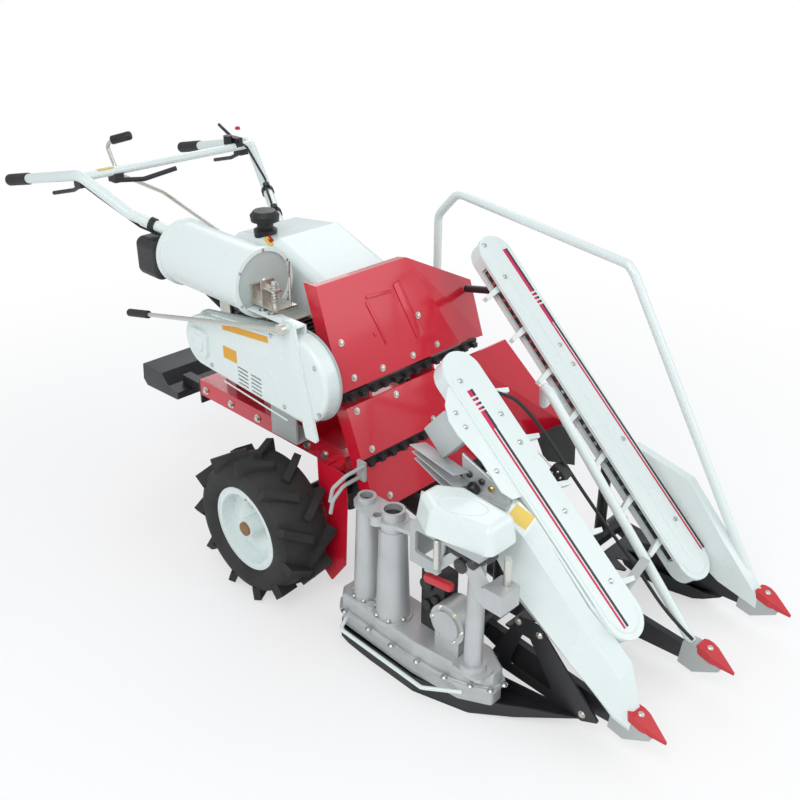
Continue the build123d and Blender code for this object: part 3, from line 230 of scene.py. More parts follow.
# The finish of every carried-over piece
CAD_FINISH = {
    "white_paint": ["rim_left", "rim_right", "belt_guard", "guard_post", "handlebar", "raising_case_left",
                    "raising_case_right", "divider_shell_left", "divider_shell_right", "knotter_cover",
                    "base_rod", "guard_tube", "middle_tube", "fuel_tank"],
    "white_plastic": ["twine_canister", "raising_fingers"],
    "red_paint": ["chassis_frame", "shield_upper", "shield_lower", "side_plate"],
    "black_paint": ["gearbox", "fan_housing", "muffler", "clutch_lever", "ballast_box", "skids",
                    "case_posts", "header_frame"],
    "grey_paint": ["guard_back_plate", "knotter_frame", "straw_guides", "tip_holders"],
    "cast_alloy": ["binder_case", "binder_post", "discharge_arm", "needle_arm"],
    "engine_grey": ["engine_block"],
    "zinc": ["half_axle_left", "half_axle_right", "canister_tray", "twine_tensioner", "gear_lever",
             "hand_lever"],
    "dark_steel": ["cutter_bar"],
    "tyre_rubber": ["tyre_left", "tyre_right"],
    "grip_rubber": ["grips", "hand_lever_grip", "control_cables"],
    "black_plastic": ["air_filter", "tank_cap", "brake_levers", "throttle", "lug_chains"],
    "red_plastic": ["divider_tips"],
}


def clear_selection():
    """Nothing selected, and object mode."""
    if bpy.context.object and bpy.context.object.mode != "OBJECT":
        bpy.ops.object.mode_set(mode="OBJECT")
    bpy.ops.object.select_all(action="DESELECT")


def turn_to(axis):
    """The rotation that points an object's Z along an axis."""
    return Vector(axis).to_track_quat("Z", "Y").to_euler()


def turn_to_both(along, normal):
    """The rotation that points an object's X along a line and its Z along a normal of that line."""
    return Matrix((along, normal.cross(along), normal)).transposed().to_euler()


def new_disc(centre, axis, radius, depth, sides=24, crown=0.0):
    """A short cylinder that stands on a point along an axis, its outer end crowned if asked."""
    clear_selection()
    bpy.ops.mesh.primitive_cylinder_add(vertices=sides, radius=radius, depth=depth,
                                        location=(0, 0, depth / 2))
    obj = bpy.context.object
    bpy.ops.object.transform_apply(location=True, rotation=False, scale=False)
    if crown:
        bpy.ops.object.mode_set(mode="EDIT")
        bpy.ops.mesh.select_mode(type="FACE")
        bpy.ops.mesh.select_all(action="DESELECT")
        bpy.ops.object.mode_set(mode="OBJECT")
        for face in obj.data.polygons:
            face.select = face.normal.z > 0.9
        bpy.ops.object.mode_set(mode="EDIT")
        bpy.ops.mesh.inset(thickness=radius * 0.35, depth=crown)
        bpy.ops.object.mode_set(mode="OBJECT")
    obj.rotation_euler = turn_to(axis)
    obj.location = centre
    return obj


def new_bar(centre, size, rotation, bevel=0.0):
    """A bar of a size in metres about its centre, its edges rounded if asked."""
    clear_selection()
    bpy.ops.mesh.primitive_cube_add(size=1.0, location=centre, rotation=rotation)
    obj = bpy.context.object
    obj.scale = size
    bpy.ops.object.transform_apply(location=False, rotation=False, scale=True)
    if bevel:
        round_edges(obj, bevel)
    return obj


def round_edges(obj, width, segments=2):
    """Round an object's edges."""
    modifier = obj.modifiers.new("round", "BEVEL")
    modifier.width = width
    modifier.segments = segments
    modifier.limit_method = "ANGLE"
    bpy.context.view_layer.objects.active = obj
    bpy.ops.object.modifier_apply(modifier="round")


def new_tube(points, radius, steps=10):
    """A round wire along a smooth line through its points."""
    clear_selection()
    bpy.ops.curve.primitive_nurbs_path_add()
    curve = bpy.context.object
    data = curve.data
    data.splines.clear()
    spline = data.splines.new("NURBS")
    spline.points.add(len(points) - 1)
    for node, p in zip(spline.points, points):
        node.co = (*p, 1.0)
    spline.order_u = 3
    spline.use_endpoint_u = True
    data.dimensions = "3D"
    data.resolution_u = steps
    data.bevel_depth = radius
    data.bevel_resolution = 3
    data.use_fill_caps = True
    curve.location = (0, 0, 0)
    curve.select_set(True)
    bpy.context.view_layer.objects.active = curve
    bpy.ops.object.convert(target="MESH")
    return bpy.context.object


def join(objects, name, finish, body):
    """Join objects into one piece at the origin, with its finish, riding on a body."""
    clear_selection()
    for obj in objects:
        obj.select_set(True)
    bpy.context.view_layer.objects.active = objects[0]
    if len(objects) > 1:
        bpy.ops.object.join()
    piece = bpy.context.object
    bpy.ops.object.transform_apply(location=True, rotation=True, scale=True)
    piece.name = name
    piece.data.name = name
    piece.data.materials.clear()
    piece.data.materials.append(MATERIALS[finish])
    bpy.ops.object.shade_smooth_by_angle(angle=math.radians(32))
    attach(piece, body)


def spread(model, places):
    """Copies of a model that points up at the origin, one at each (point, outward direction) place."""
    copies = []
    for point, axis in places:
        clear_selection()
        model.select_set(True)
        bpy.context.view_layer.objects.active = model
        bpy.ops.object.duplicate(linked=False)
        copy = bpy.context.object
        copy.location = point
        copy.rotation_euler = turn_to(axis)
        copies.append(copy)
    bpy.data.objects.remove(model)
    return copies


def bolts(name, places, radius, finish, body):
    """Hexagon bolt heads on their washers, at (point, outward direction) places."""
    lift = WASHER - HEAD_SINK
    on_washers = [(point + Vector(axis).normalized() * lift, axis) for point, axis in places]
    washer = new_disc((0, 0, 0), UP, radius * 1.5, WASHER, 20)
    head = new_disc((0, 0, 0), UP, radius, radius * 0.7, 6, radius * 0.12)
    join(spread(washer, places) + spread(head, on_washers), name, finish, body)


def dome_screws(name, places, radius, finish, body):
    """Round-headed screws at (point, outward direction) places."""
    screw = new_disc((0, 0, 0), UP, radius, radius * 0.35, 16, radius * 0.3)
    join(spread(screw, places), name, finish, body)


def case_rotation(name):
    """The rotation whose X runs down a raising case and whose Z is its cover's normal."""
    _, u, n = case_frame(name)
    return turn_to_both(u, n)


def on_surface(node, point):
    """The spot of a carried-over piece's surface that is nearest a point, and its direction."""
    _, spot, normal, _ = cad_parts[node].closest_point_on_mesh(point)
    return spot, normal


def lying(along, normal):
    """The rotation of a flat thing whose X runs along a line and whose Z is a surface's normal."""
    u = (along - normal * along.dot(normal)).normalized()
    return turn_to_both(u, normal)


def surface_label(node, point, along, length, width):
    """A thin plate that lies on a carried-over piece, near a point."""
    spot, normal = on_surface(node, point)
    centre = spot + normal * (LABEL_THICK * 0.45)
    return new_bar(centre, (length, width, LABEL_THICK), lying(along, normal))


def new_plate(corners, thickness):
    """A flat plate through four corners, thickened."""
    clear_selection()
    bpy.ops.mesh.primitive_plane_add(size=1.0)
    obj = bpy.context.object
    # a plane's own corners lie row by row
    for index, corner in zip((0, 1, 3, 2), corners):
        obj.data.vertices[index].co = corner
    modifier = obj.modifiers.new("wall", "SOLIDIFY")
    modifier.thickness = thickness
    modifier.offset = 0.0
    bpy.ops.object.modifier_apply(modifier="wall")
    round_edges(obj, thickness * 0.25, 1)
    return obj


STRIPES = {
    # where the stripe starts and ends on the cover, down it and across it, and then the start and
    # end of each full-width stretch, the last of which runs on into the narrow stripe
    "left": ((-8.0, 36.0), (928.0, 54.0),
             [(-8, 130), (135, 142), (147, 154), (159, 166), (171, 228)]),
    "right": ((42.0, -14.0), (658.0, -12.0),
              [(42, 59), (64, 70), (76, 82), (88, 94), (98, 145)]),
}
# The stripe's red and dark widths, on the full stretches and on the narrow one
RED_W, DARK_W = 10.0, 7.5
NARROW_RED_W, NARROW_DARK_W = 5.5, 6.5


def case_line(name, u0, u1, d0, d1):
    """A thin painted line down a cover, between two distances from the middle of its stripe."""
    (ua, va), (ub, vb), _ = STRIPES[name]
    slope = (vb - va) / (ub - ua)
    _, u, n = case_frame(name)
    along = (u + Vector((0, 1, 0)) * slope).normalized()
    middle = (u0 + u1) / 2
    v = va + slope * (middle - ua) + (d0 + d1) / 2
    size = ((u1 - u0) / 1000, (d1 - d0) / 1000, LABEL_THICK)
    return new_bar(on_case(name, middle, v, LABEL_LIFT), size, turn_to_both(along, n))


def make_stripes():
    """The red and dark stripes down both raising cases, with their short bars."""
    reds, darks = [], []
    for name, (_, (end, _), blocks) in STRIPES.items():
        for u0, u1 in blocks:
            reds.append(case_line(name, u0, u1, -RED_W, 0))
            darks.append(case_line(name, u0, u1, 0, DARK_W))
        narrow = blocks[-1][1]
        reds.append(case_line(name, narrow, end, -RED_W, NARROW_RED_W - RED_W))
        darks.append(case_line(name, narrow, end, 0, NARROW_DARK_W))
    join(reds, "case_stripes_red", "stripe_red", "chassis")
    join(darks, "case_stripes_dark", "stripe_dark", "chassis")


# Places down and across each cover
CASE_SCREWS = {
    "left": [(-36, -26), (65, -25), (292, 13), (353, 16), (586, 22), (828, 23)],
    "right": [(123, 26), (200, 27), (382, 25), (562, 24), (14, -24)],
}


def make_case_trim(screw_radius):
    """The screws and the raised ribs of each raising case's cover."""
    places = []
    for name, spots in CASE_SCREWS.items():
        _, _, n = case_frame(name)
        for u, v in spots:
            places.append((on_case(name, u, v, 0.0), n))
    dome_screws("case_screws", places, screw_radius, "steel", "chassis")
    ribs = []
    for name, length, v in (("left", 928.0, -10.0), ("left", 928.0, -50.0), ("right", 634.0, -47.0)):
        centre = on_case(name, length / 2, v, 0.2)
        ribs.append(new_bar(centre, ((length - 6) / 1000, 0.004, 0.0024), case_rotation(name), 0.001))
    join(ribs, "case_ribs", "white_paint", "chassis")


# How far the chain stands from the middle of each case, and its two ends
CHAINS = {
    "left": (-47.6, 26.0, 903.0),
    "right": (44.6, 26.0, 610.0),
}
# Where the chain and the wire that guides it lie, as seen from the cover's outer face
CHAIN_DEPTH, WIRE_DEPTH = -23.0, -11.6
CHAIN_PITCH = 26.0


def make_raising_chains(wire_radius):
    """The dark raising chain in each case's channel, its rollers and its bright guide wire."""
    plates, rollers, wires = [], [], []
    for name, (v, u0, u1) in CHAINS.items():
        side = -1 if v < 0 else 1
        centre = on_case(name, (u0 + u1) / 2, v + side * 0.4, CHAIN_DEPTH)
        plates.append(new_bar(centre, ((u1 - u0) / 1000, 0.0016, 0.0156), case_rotation(name)))
        spots = []
        for i in range(int((u1 - u0) / CHAIN_PITCH)):
            down = u0 + CHAIN_PITCH * (i + 0.5)
            spots.append((on_case(name, down, v + side, CHAIN_DEPTH), (0, side, 0)))
        rollers += spread(new_disc((0, 0, 0), UP, 0.0055, 0.0028, 12), spots)
        rim = [on_case(name, u, v + side * 5.2, WIRE_DEPTH) for u in (u0 - 4, (u0 + u1) / 2, u1 + 4)]
        wires.append(new_tube(rim, wire_radius))
    join(plates, "raising_chain_plates", "dark_steel", "chassis")
    join(rollers, "raising_chain_rollers", "steel", "chassis")
    join(wires, "channel_guide_wires", "steel", "chassis")


def make_header_cable(radius):
    """The black cable that loops out behind the right case and runs down to the middle tip."""
    line = [(500, -48, 660), (527, -35, 661), (569, -10, 645), (640, 12, 570), (689, 28, 500),
            (770, 60, 389), (872, 95, 266), (946, 120, 166), (1010, 133, 124)]
    join([new_tube([place(*p) for p in line], radius, 12)], "header_cable", "grip_rubber", "chassis")


def make_crop_flap():
    """The black rubber flap beside the lower shield's left wing."""
    corners = [place(436, 250, 400), place(452, 410, 398), place(452, 424, 240), place(436, 300, 300)]
    join([new_plate(corners, 0.003)], "crop_flap", "grip_rubber", "chassis")


def case_plate(name, corners, out, thick):
    """A flat plate in a case's plane, through points measured on its cover."""
    clear_selection()
    bpy.ops.mesh.primitive_circle_add(vertices=len(corners), radius=1.0, fill_type="NGON")
    obj = bpy.context.object
    for vertex, (u, v) in zip(obj.data.vertices, corners):
        vertex.co = on_case(name, u, v, out)
    bpy.ops.object.mode_set(mode="EDIT")
    bpy.ops.mesh.select_all(action="SELECT")
    bpy.ops.mesh.normals_make_consistent(inside=False)
    bpy.ops.object.mode_set(mode="OBJECT")
    modifier = obj.modifiers.new("wall", "SOLIDIFY")
    modifier.thickness = thick
    modifier.offset = 0.0
    bpy.ops.object.modifier_apply(modifier="wall")
    round_edges(obj, thick * 0.3, 2)
    return obj


def make_case_ear():
    """The white wing on the right case's outer side, which carries the straw guides."""
    corners = [(14, -52), (15, -65), (48, -98), (82, -114), (120, -115), (194, -99), (274, -100),
               (300, -84), (306, -52)]
    join([case_plate("right", corners, -5.0, 0.004)], "case_ear", "white_paint", "chassis")
    _, _, n = case_frame("right")
    spots = [(on_case("right", u, v, -2.8), n) for u, v in ((74, -86), (112, -84), (230, -78))]
    dome_screws("case_ear_screws", spots, 0.006, "steel", "chassis")


def make_guide_blades():
    """The grey box under the ear, its pressed blades and the pierced bracket over the knotter, with painted
    shade in its holes.
    """
    box = new_bar(on_case("right", 98, -88, -52), (0.082, 0.046, 0.088), case_rotation("right"), 0.004)
    join([box], "guide_box", "grey_paint", "chassis")
    blades = []
    for i in range(3):
        z = 552 - 22 * i
        blades.append(new_bar(place(508 + 6 * i, -214, z), (0.15, 0.05, 0.003),
                              (math.radians(-14), math.radians(4 + 6 * i), math.radians(-6)), 0.001))
    join(blades, "guide_blades", "cast_alloy", "chassis")
    arm = [new_plate([place(556, -190, 578), place(560, -190, 494), place(684, -170, 484),
                      place(676, -170, 512)], 0.008)]
    arm.append(new_bar(place(620, -188, 494), (0.13, 0.036, 0.008),
                       (0, math.radians(4), math.radians(9)), 0.002))
    join(arm, "knotter_bracket", "cast_alloy", "chassis")
    out = Vector((0.16, -1, 0)).normalized()
    # Dark steel domes in the bracket's two holes: painted shade for the dark inside of the holes
    holes = [(place(x, y, z), out) for x, y, z in ((580, -191.5, 532), (612, -186, 524))]
    dome_screws("bracket_bore_shade", holes, 0.008, "dark_steel", "chassis")
    dome_screws("bracket_pin", [(place(636, -182, 514), out)], 0.008, "brass", "chassis")
    join([new_disc(place(604, -196, 500), (-0.3, -0.5, 0.8), 0.012, 0.02, 24, 0.004)],
         "bracket_knob", "black_plastic", "chassis")


def make_header_links():
    """The link from the right case to the middle tube, and the small black bracket with its wire."""
    a, b = Vector((908, -37, 314)), Vector((866, 107, 270))
    across = (b - a).normalized()
    link = new_bar(place(*((a + b) / 2)), ((b - a).length / 1000, 0.022, 0.004),
                   lying(across, Vector((0.3, 0, 1)).normalized()), 0.001)
    join([link], "case_link", "grey_paint", "chassis")
    box = new_bar(place(680, 11, 490), (0.044, 0.026, 0.036), (0, math.radians(30), 0), 0.003)
    join([box], "cable_bracket", "black_plastic", "chassis")
    spots = [(place(680 + dx, -2, 490 + dz), (0, -1, 0))
             for dx, dz in ((-12, 2), (4, 11), (-4, -10), (12, -2))]
    dome_screws("cable_bracket_screws", spots, 0.004, "steel", "chassis")
    wire = [place(*p) for p in ((590, -40, 570), (630, -14, 548), (664, 4, 500))]
    join([new_tube(wire, 0.0022)], "bracket_wire", "white_paint", "chassis")


def make_end_rims():
    """The pressed half-round rim at the lower end of each case's cover."""
    rims = []
    for name, length, radius in (("left", 928.0, 45.0), ("right", 633.0, 42.0)):
        arc = []
        for degrees in range(-90, 91, 15):
            angle = math.radians(degrees)
            arc.append(on_case(name, length + radius * math.cos(angle), radius * math.sin(angle), 0.2))
        rims.append(new_tube(arc, 0.0016, 4))
    join(rims, "case_end_rims", "white_paint", "chassis")


def make_lever_shelf():
    """The white channel from the upright's top back to the twine canister, with its bolts."""
    top = new_bar(place(22, -271, 768), (0.18, 0.037, 0.004), (0, 0, 0), 0.001)
    lip = new_bar(place(22, -254.5, 758), (0.18, 0.004, 0.022), (0, 0, 0), 0.001)
    join([top, lip], "lever_shelf", "white_paint", "chassis")
    places = [(place(x, -270, 770), UP) for x in (-30, 4)]
    bolts("lever_shelf_bolts", places, 0.007, "steel", "chassis")


def make_shield_ribs():
    """The pressed ribs of the upper red panel."""
    ribs = []
    for y0, z0, y1, z1, width in (
            (-64.0, 776.0, -28.0, 663.0, 0.009), (-62.0, 786.0, 27.0, 780.0, 0.009),
            (48.0, 797.0, 89.0, 650.0, 0.028), (-64.0, 700.0, -56.0, 690.0, 0.006)):
        a = Vector((shield_x(z0), y0, z0))
        b = Vector((shield_x(z1), y1, z1))
        n = shield_normal(z0)
        rotation = turn_to_both((b - a).normalized(), n)
        centre = place(*((a + b) / 2 + n * 0.5))
        ribs.append(new_bar(centre, ((b - a).length / 1000, width, 0.005), rotation, 0.0022))
    join(ribs, "shield_ribs", "red_paint", "chassis")


SHIELD_BOLTS = [
    # y, z on the shield's front
    (98, 701), (-171, 706), (143, 614), (-157, 617), (-176, 542), (109, 536), (-164, 446), (-150, 326),
    (-60, 612), (50, 612), (-40, 540), (60, 446),
]


def make_shield_bolts(shield_radius, rail_radius):
    """The zinc bolts of the red shield and of both chassis rails."""
    places = []
    for y, z in SHIELD_BOLTS:
        places.append((place(shield_x(z), y, z), shield_normal(z)))
    bolts("shield_bolts", places, shield_radius, "zinc", "chassis")
    rail = [(place(x, -RAIL_Y, RAIL_BOLT_Z), (0, -1, 0)) for x in (-420, -300, -180, -60, 30, 100)]
    rail += [(place(x, RAIL_Y, RAIL_BOLT_Z), (0, 1, 0)) for x in (-420, -240, -60, 100)]
    bolts("rail_bolts", rail, rail_radius, "zinc", "chassis")


def make_guard_trim():
    """The belt guard's labels, its boss ring, embossed lines and screws."""
    def on_guard(x, z, out=0.0):
        return place(x, GUARD_Y - out, z)
    flat = (math.radians(90), 0, 0)
    lean = (math.radians(90), math.radians(-6), 0)
    strip = new_bar(on_guard(-86, 699, LABEL_LIFT), (0.188, 0.017, LABEL_THICK), lean)
    join([strip], "guard_label_strip", "amber_label", "chassis")
    square = new_bar(on_guard(-155, 618, LABEL_LIFT), (0.056, 0.034, LABEL_THICK), flat)
    join([square], "guard_label_square", "amber_label", "chassis")
    lines = []
    for x, z, length, tilt in ((-72, 724, 0.3, -5.5), (-60, 520, 0.26, 4.5)):
        rotation = (math.radians(90), math.radians(tilt), 0)
        lines.append(new_bar(on_guard(x, z, 0.6), (length, 0.004, 0.003), rotation, 0.001))
    join(lines, "guard_embossed_lines", "white_paint", "chassis")
    ring = new_disc(on_guard(-285, 613, 9.0), (0, -1, 0), 0.024, 0.003, 32, 0.002)
    join([ring], "guard_boss_cap", "white_paint", "chassis")
    screws = [(on_guard(x, z), (0, -1, 0)) for x, z in (
        (-330, 665), (-240, 560), (20, 725), (60, 545), (180, 690), (190, 570))]
    dome_screws("guard_screws", screws, 0.006, "steel", "chassis")


# Radii of the circles on which nuts and screws stand
NUT_CIRCLE = 50.0
CANISTER_SCREW_CIRCLE = 85.0
ROUND_COVER_CIRCLE = 44.0
# The tensioner's spring: its radius, and its rise in an eighth of a turn
SPRING_RADIUS, SPRING_RISE = 11.0, 0.9


def on_circle(a, b, radius, degrees):
    """A point on a circle about (a, b)."""
    angle = math.radians(degrees)
    return a + radius * math.cos(angle), b + radius * math.sin(angle)


def make_wheel_trim(valve_radius):
    """Wheel nuts, hub cap and valve on each rim."""
    for name, side in (("left", 1), ("right", -1)):
        body = "wheel_" + name
        hub = place(0, side * (WHEEL_Y + 60.0), WHEEL_Z)
        cap = new_disc(hub, (0, side, 0), 0.019, 0.006, 32, 0.003)
        join([cap], "hub_cap_" + name, "hub_bronze", body)
        nuts = []
        for degrees in (45, 135, 225, 315):
            x, z = on_circle(0, WHEEL_Z, NUT_CIRCLE, degrees)
            nuts.append((place(x, side * (WHEEL_Y + 8.5), z), (0, side, 0)))
        bolts("wheel_nuts_" + name, nuts, 0.0085, "zinc", body)
        root = place(0, side * (WHEEL_Y + 24), WHEEL_Z + 97)
        tip = root + Vector((0, side * 0.03, -0.012))
        valve = new_tube([root, (root + tip) / 2, tip], valve_radius)
        join([valve], "valve_" + name, "black_plastic", body)


def make_canister_trim():
    """The canister's grey end plate with its hub, its screws and the twine tensioner's spring."""
    front = place(CAN_FRONT_X - 7.0, CAN_Y, CAN_Z)
    plate = new_disc(front, (1, 0, 0), 0.078, 0.0015, 64, 0.0008)
    join([plate], "canister_end_plate", "pale_grey", "chassis")
    hub = new_disc(front + Vector((0.0015, 0, 0)), (1, 0, 0), 0.012, 0.004, 24, 0.002)
    join([hub], "canister_end_hub", "zinc", "chassis")
    screws = []
    for degrees in range(30, 360, 60):
        y, z = on_circle(CAN_Y, CAN_Z, CANISTER_SCREW_CIRCLE, degrees)
        screws.append((place(CAN_FRONT_X, y, z), (1, 0, 0)))
    dome_screws("canister_screws", screws, 0.004, "steel", "chassis")
    spring = []
    for i in range(61):
        x, y = on_circle(CAN_FRONT_X + 70, CAN_Y - 26, SPRING_RADIUS, 45 * i)
        spring.append(place(x, y, CAN_Z - 30 + i * SPRING_RISE))
    join([new_tube(spring, 0.0011, 3)], "tensioner_spring", "steel", "chassis")


def make_tank_labels():
    """The blank red and yellow labels beside the tank's cap."""
    along = Vector((0.9, -0.4, 0)).normalized()
    for name, x, y, width, finish in (("tank_label_red", -236, -78, 0.012, "red_plastic"),
                                      ("tank_label_yellow", -232, -92, 0.014, "yellow_label")):
        label = surface_label("fuel_tank", place(x, y, 862), along, 0.045, width)
        join([label], name, finish, "chassis")


def make_binder_trim():
    """The binding unit's bolts and red catch, its cover's rim and a blank label."""
    flange = [(place(x, y, 96.0), UP) for x, y in (
        (330, -350), (420, -354), (500, -357), (580, -354), (660, -347), (720, -326), (762, -306),
        (772, -270))]
    bolts("base_flange_bolts", flange, 0.006, "steel", "chassis")
    feet = []
    for column_x, column_y, radius in ((362.0, -300.0, 37.0), (455.0, -306.0, 43.0)):
        for degrees in (200, 250, 300, 350):
            x, y = on_circle(column_x, column_y, radius, degrees)
            feet.append((place(x, y, 148.0), UP))
    bolts("column_foot_bolts", feet, 0.0045, "zinc", "chassis")
    ring = []
    for degrees in range(0, 360, 60):
        x, z = on_circle(636, 214, ROUND_COVER_CIRCLE, degrees)
        ring.append((place(x, -316.0, z), (0, -1, 0)))
    bolts("round_cover_bolts", ring, 0.005, "zinc", "chassis")
    catch = new_bar(place(632, -343, 346), (0.082, 0.02, 0.022), (0, math.radians(-8), 0), 0.008)
    join([catch], "knotter_red_catch", "red_plastic", "chassis")
    oval = []
    turn = math.radians(24)
    for degrees in range(0, 361, 15):
        angle = math.radians(degrees)
        a, b = 54 * math.cos(angle), 30 * math.sin(angle)
        oval.append(place(660 + a * math.cos(turn) - b * math.sin(turn),
                          -303 + a * math.sin(turn) + b * math.cos(turn), 536.2))
    join([new_tube(oval, 0.0014, 3)], "cover_oval_rim", "white_paint", "chassis")
    along = Vector((79, 0, -14)).normalized()
    label = surface_label("divider_shell_right", place(735, -215, 521), along, 0.05, 0.036)
    join([label], "shell_label", "yellow_label", "chassis")


def make_knotter_works():
    """The dark knotter parts under the white cover, its two pins, and thin black discs of painted shade in
    the arm's bores.
    """
    works = [new_bar(place(672, -292, 438), (0.11, 0.07, 0.052), (0, 0, 0), 0.006)]
    for x, z, radius, depth in ((668, 444, 0.024, 0.02), (700, 430, 0.017, 0.03), (726, 446, 0.013, 0.024)):
        works.append(new_disc(place(x, -326, z), (0, -1, 0), radius, depth, 28, 0.004))
    works.append(new_bar(place(700, -340, 452), (0.07, 0.02, 0.01), (0, math.radians(12), 0), 0.002))
    join(works, "knotter_works", "dark_steel", "chassis")
    pins = [new_disc(place(640, -362, 398), UP, 0.007, 0.07, 20, 0.002),
            new_disc(place(790, -309, 409), UP, 0.0085, 0.062, 20, 0.002)]
    join(pins, "knotter_pins", "zinc", "chassis")
    # Thin black discs in the arm's bores: painted shade for the dark inside of the holes
    bores = [new_disc(place(x, y, z), UP, radius, 0.001, 32)
             for x, y, z, radius in ((362, -300, 411, 0.0161), (455, -306, 419, 0.0221),
                                     (433, -336, 407, 0.0101))]
    join(bores, "arm_bore_shade", "black_plastic", "chassis")


def make_feed_drive():
    """The dark feed drive on the gear case between its columns and the post, and the case's lip."""
    parts = [new_bar(place(560, -258, 200), (0.075, 0.05, 0.2), (0, 0, 0), 0.006)]
    for x, z, radius in ((545, 262, 0.018), (574, 232, 0.012), (548, 206, 0.014), (574, 186, 0.009)):
        parts.append(new_disc(place(x, -283, z), (0, -1, 0), radius, 0.008, 24, 0.003))
    join(parts, "feed_drive", "black_plastic", "chassis")
    lip = [place(x, y, 93) for x, y in ((288, -300), (294, -322), (314, -342), (430, -349), (560, -350),
                                        (640, -345), (694, -335), (762, -300), (764, -270))]
    join([new_tube(lip, 0.0045, 6)], "gear_case_lip", "cast_alloy", "chassis")


def make_bar_trim():
    """The blank label on the cross tube, the red stop button and the gear lever's knob."""
    label = new_bar(place(-788.0, -225.0, 974.2), (0.016, 0.05, 0.0012), (0, 0, 0))
    join([label], "bar_label", "yellow_label", "chassis")
    button = new_disc(place(-806, 262, 1010), UP, 0.008, 0.006, 20, 0.003)
    join([button], "stop_button", "red_plastic", "chassis")
    start, end = place(-968, -88, 1005), place(-925, -54, 1020)
    away = (end - start).normalized()
    ball = new_disc(start - away * 0.003, away, 0.0135, (end - start).length + 0.006, 24, 0.003)
    round_edges(ball, 0.003)
    join([ball], "gear_knob", "black_plastic", "chassis")


def make_header_trim():
    """Bolts on the divider tips, the header's side and its beam."""
    tips = [(place(1052, y, 120.0), (0.3, 0, 1)) for y in (-154.0, 140.0, 428.0)]
    bolts("tip_bolts", tips, 0.005, "zinc", "chassis")
    side = [(place(x, -189.0, z), (0, -1, 0)) for x, z in ((680, 66), (740, 210), (800, 205), (930, 60))]
    bolts("header_side_bolts", side, 0.006, "zinc", "chassis")
    beam = [(place(610, y, 144.0), UP) for y in (-100, 60, 240, 360)]
    bolts("beam_bolts", beam, 0.006, "zinc", "chassis")


def make_floor(size):
    """The pale floor."""
    clear_selection()
    bpy.ops.mesh.primitive_plane_add(size=size, location=(0, 0, FLOOR_Z))
    floor = bpy.context.object
    bpy.ops.object.transform_apply(location=True, rotation=True, scale=True)
    floor.name = "floor"
    floor.data.materials.append(MATERIALS["floor"])


# Each lamp's place, size and power, and the point that all of them face, in metres
LAMPS = {
    "key": ((1.6, -2.6, 3.2), 2.4, 62.0),
    "fill": ((3.2, 1.4, 2.2), 2.6, 26.0),
    "back": ((-2.4, 2.2, 3.0), 2.4, 30.0),
}
LIT_POINT = Vector((0, 0, 0.45))


def make_lights(level):
    """Soft studio light: a pale world that the camera sees white, and three large area lamps."""
    world = bpy.data.worlds.new("studio")
    bpy.context.scene.world = world
    world.use_nodes = True
    tree = world.node_tree
    tree.nodes.clear()
    out = tree.nodes.new("ShaderNodeOutputWorld")
    mix = tree.nodes.new("ShaderNodeMixShader")
    soft = tree.nodes.new("ShaderNodeBackground")
    soft.inputs["Color"].default_value = (0.93, 0.96, 1.0, 1.0)
    soft.inputs["Strength"].default_value = 0.68 * level
    plain = tree.nodes.new("ShaderNodeBackground")
    plain.inputs["Color"].default_value = (1.0, 1.0, 1.0, 1.0)
    plain.inputs["Strength"].default_value = 1.0
    rays = tree.nodes.new("ShaderNodeLightPath")
    tree.links.new(rays.outputs["Is Camera Ray"], mix.inputs["Fac"])
    tree.links.new(soft.outputs["Background"], mix.inputs[1])
    tree.links.new(plain.outputs["Background"], mix.inputs[2])
    tree.links.new(mix.outputs["Shader"], out.inputs["Surface"])
    for name, (spot, size, power) in LAMPS.items():
        bpy.ops.object.light_add(type="AREA", location=spot)
        lamp = bpy.context.object
        lamp.name = name
        lamp.data.energy = power * level
        lamp.data.size = size
        lamp.rotation_euler = (LIT_POINT - Vector(spot)).to_track_quat("-Z", "Y").to_euler()


# The photograph's viewpoint, in the source's millimetres and in degrees
VIEW = {"spot": (1781.5, -1640.4, 1680.3), "yaw": 44.4, "pitch": 27.2, "roll": 0.3, "lens": 44.5}


def make_camera():
    """The camera at the photograph's viewpoint."""
    yaw, pitch, roll = (math.radians(VIEW[k]) for k in ("yaw", "pitch", "roll"))
    ahead = Vector((-math.sin(yaw) * math.cos(pitch), math.cos(yaw) * math.cos(pitch), -math.sin(pitch)))
    right = Vector((math.cos(yaw), math.sin(yaw), 0))
    up = right.cross(ahead)
    right_turned = right * math.cos(roll) + up * math.sin(roll)
    up_turned = up * math.cos(roll) - right * math.sin(roll)
    bpy.ops.object.camera_add(location=place(*VIEW["spot"]))
    camera = bpy.context.object
    camera.rotation_euler = Matrix((right_turned, up_turned, -ahead)).transposed().to_euler()
    camera.data.lens = VIEW["lens"]
    camera.data.sensor_width = 36.0
    camera.data.clip_start = 0.05
    bpy.context.scene.camera = camera
    bpy.context.scene.view_settings.view_transform = "Standard"


class FinishProps(bpy.types.PropertyGroup):
    """Colours of the paint"""
    red: bpy.props.FloatVectorProperty(
        name="Red", description="Colour of the red panels", subtype="COLOR", size=3, min=0.0, max=1.0,
        default=(0.68, 0.008, 0.03))
    white: bpy.props.FloatVectorProperty(
        name="White", description="Colour of the white paint", subtype="COLOR", size=3, min=0.0,
        max=1.0, default=(0.76, 0.84, 0.82))


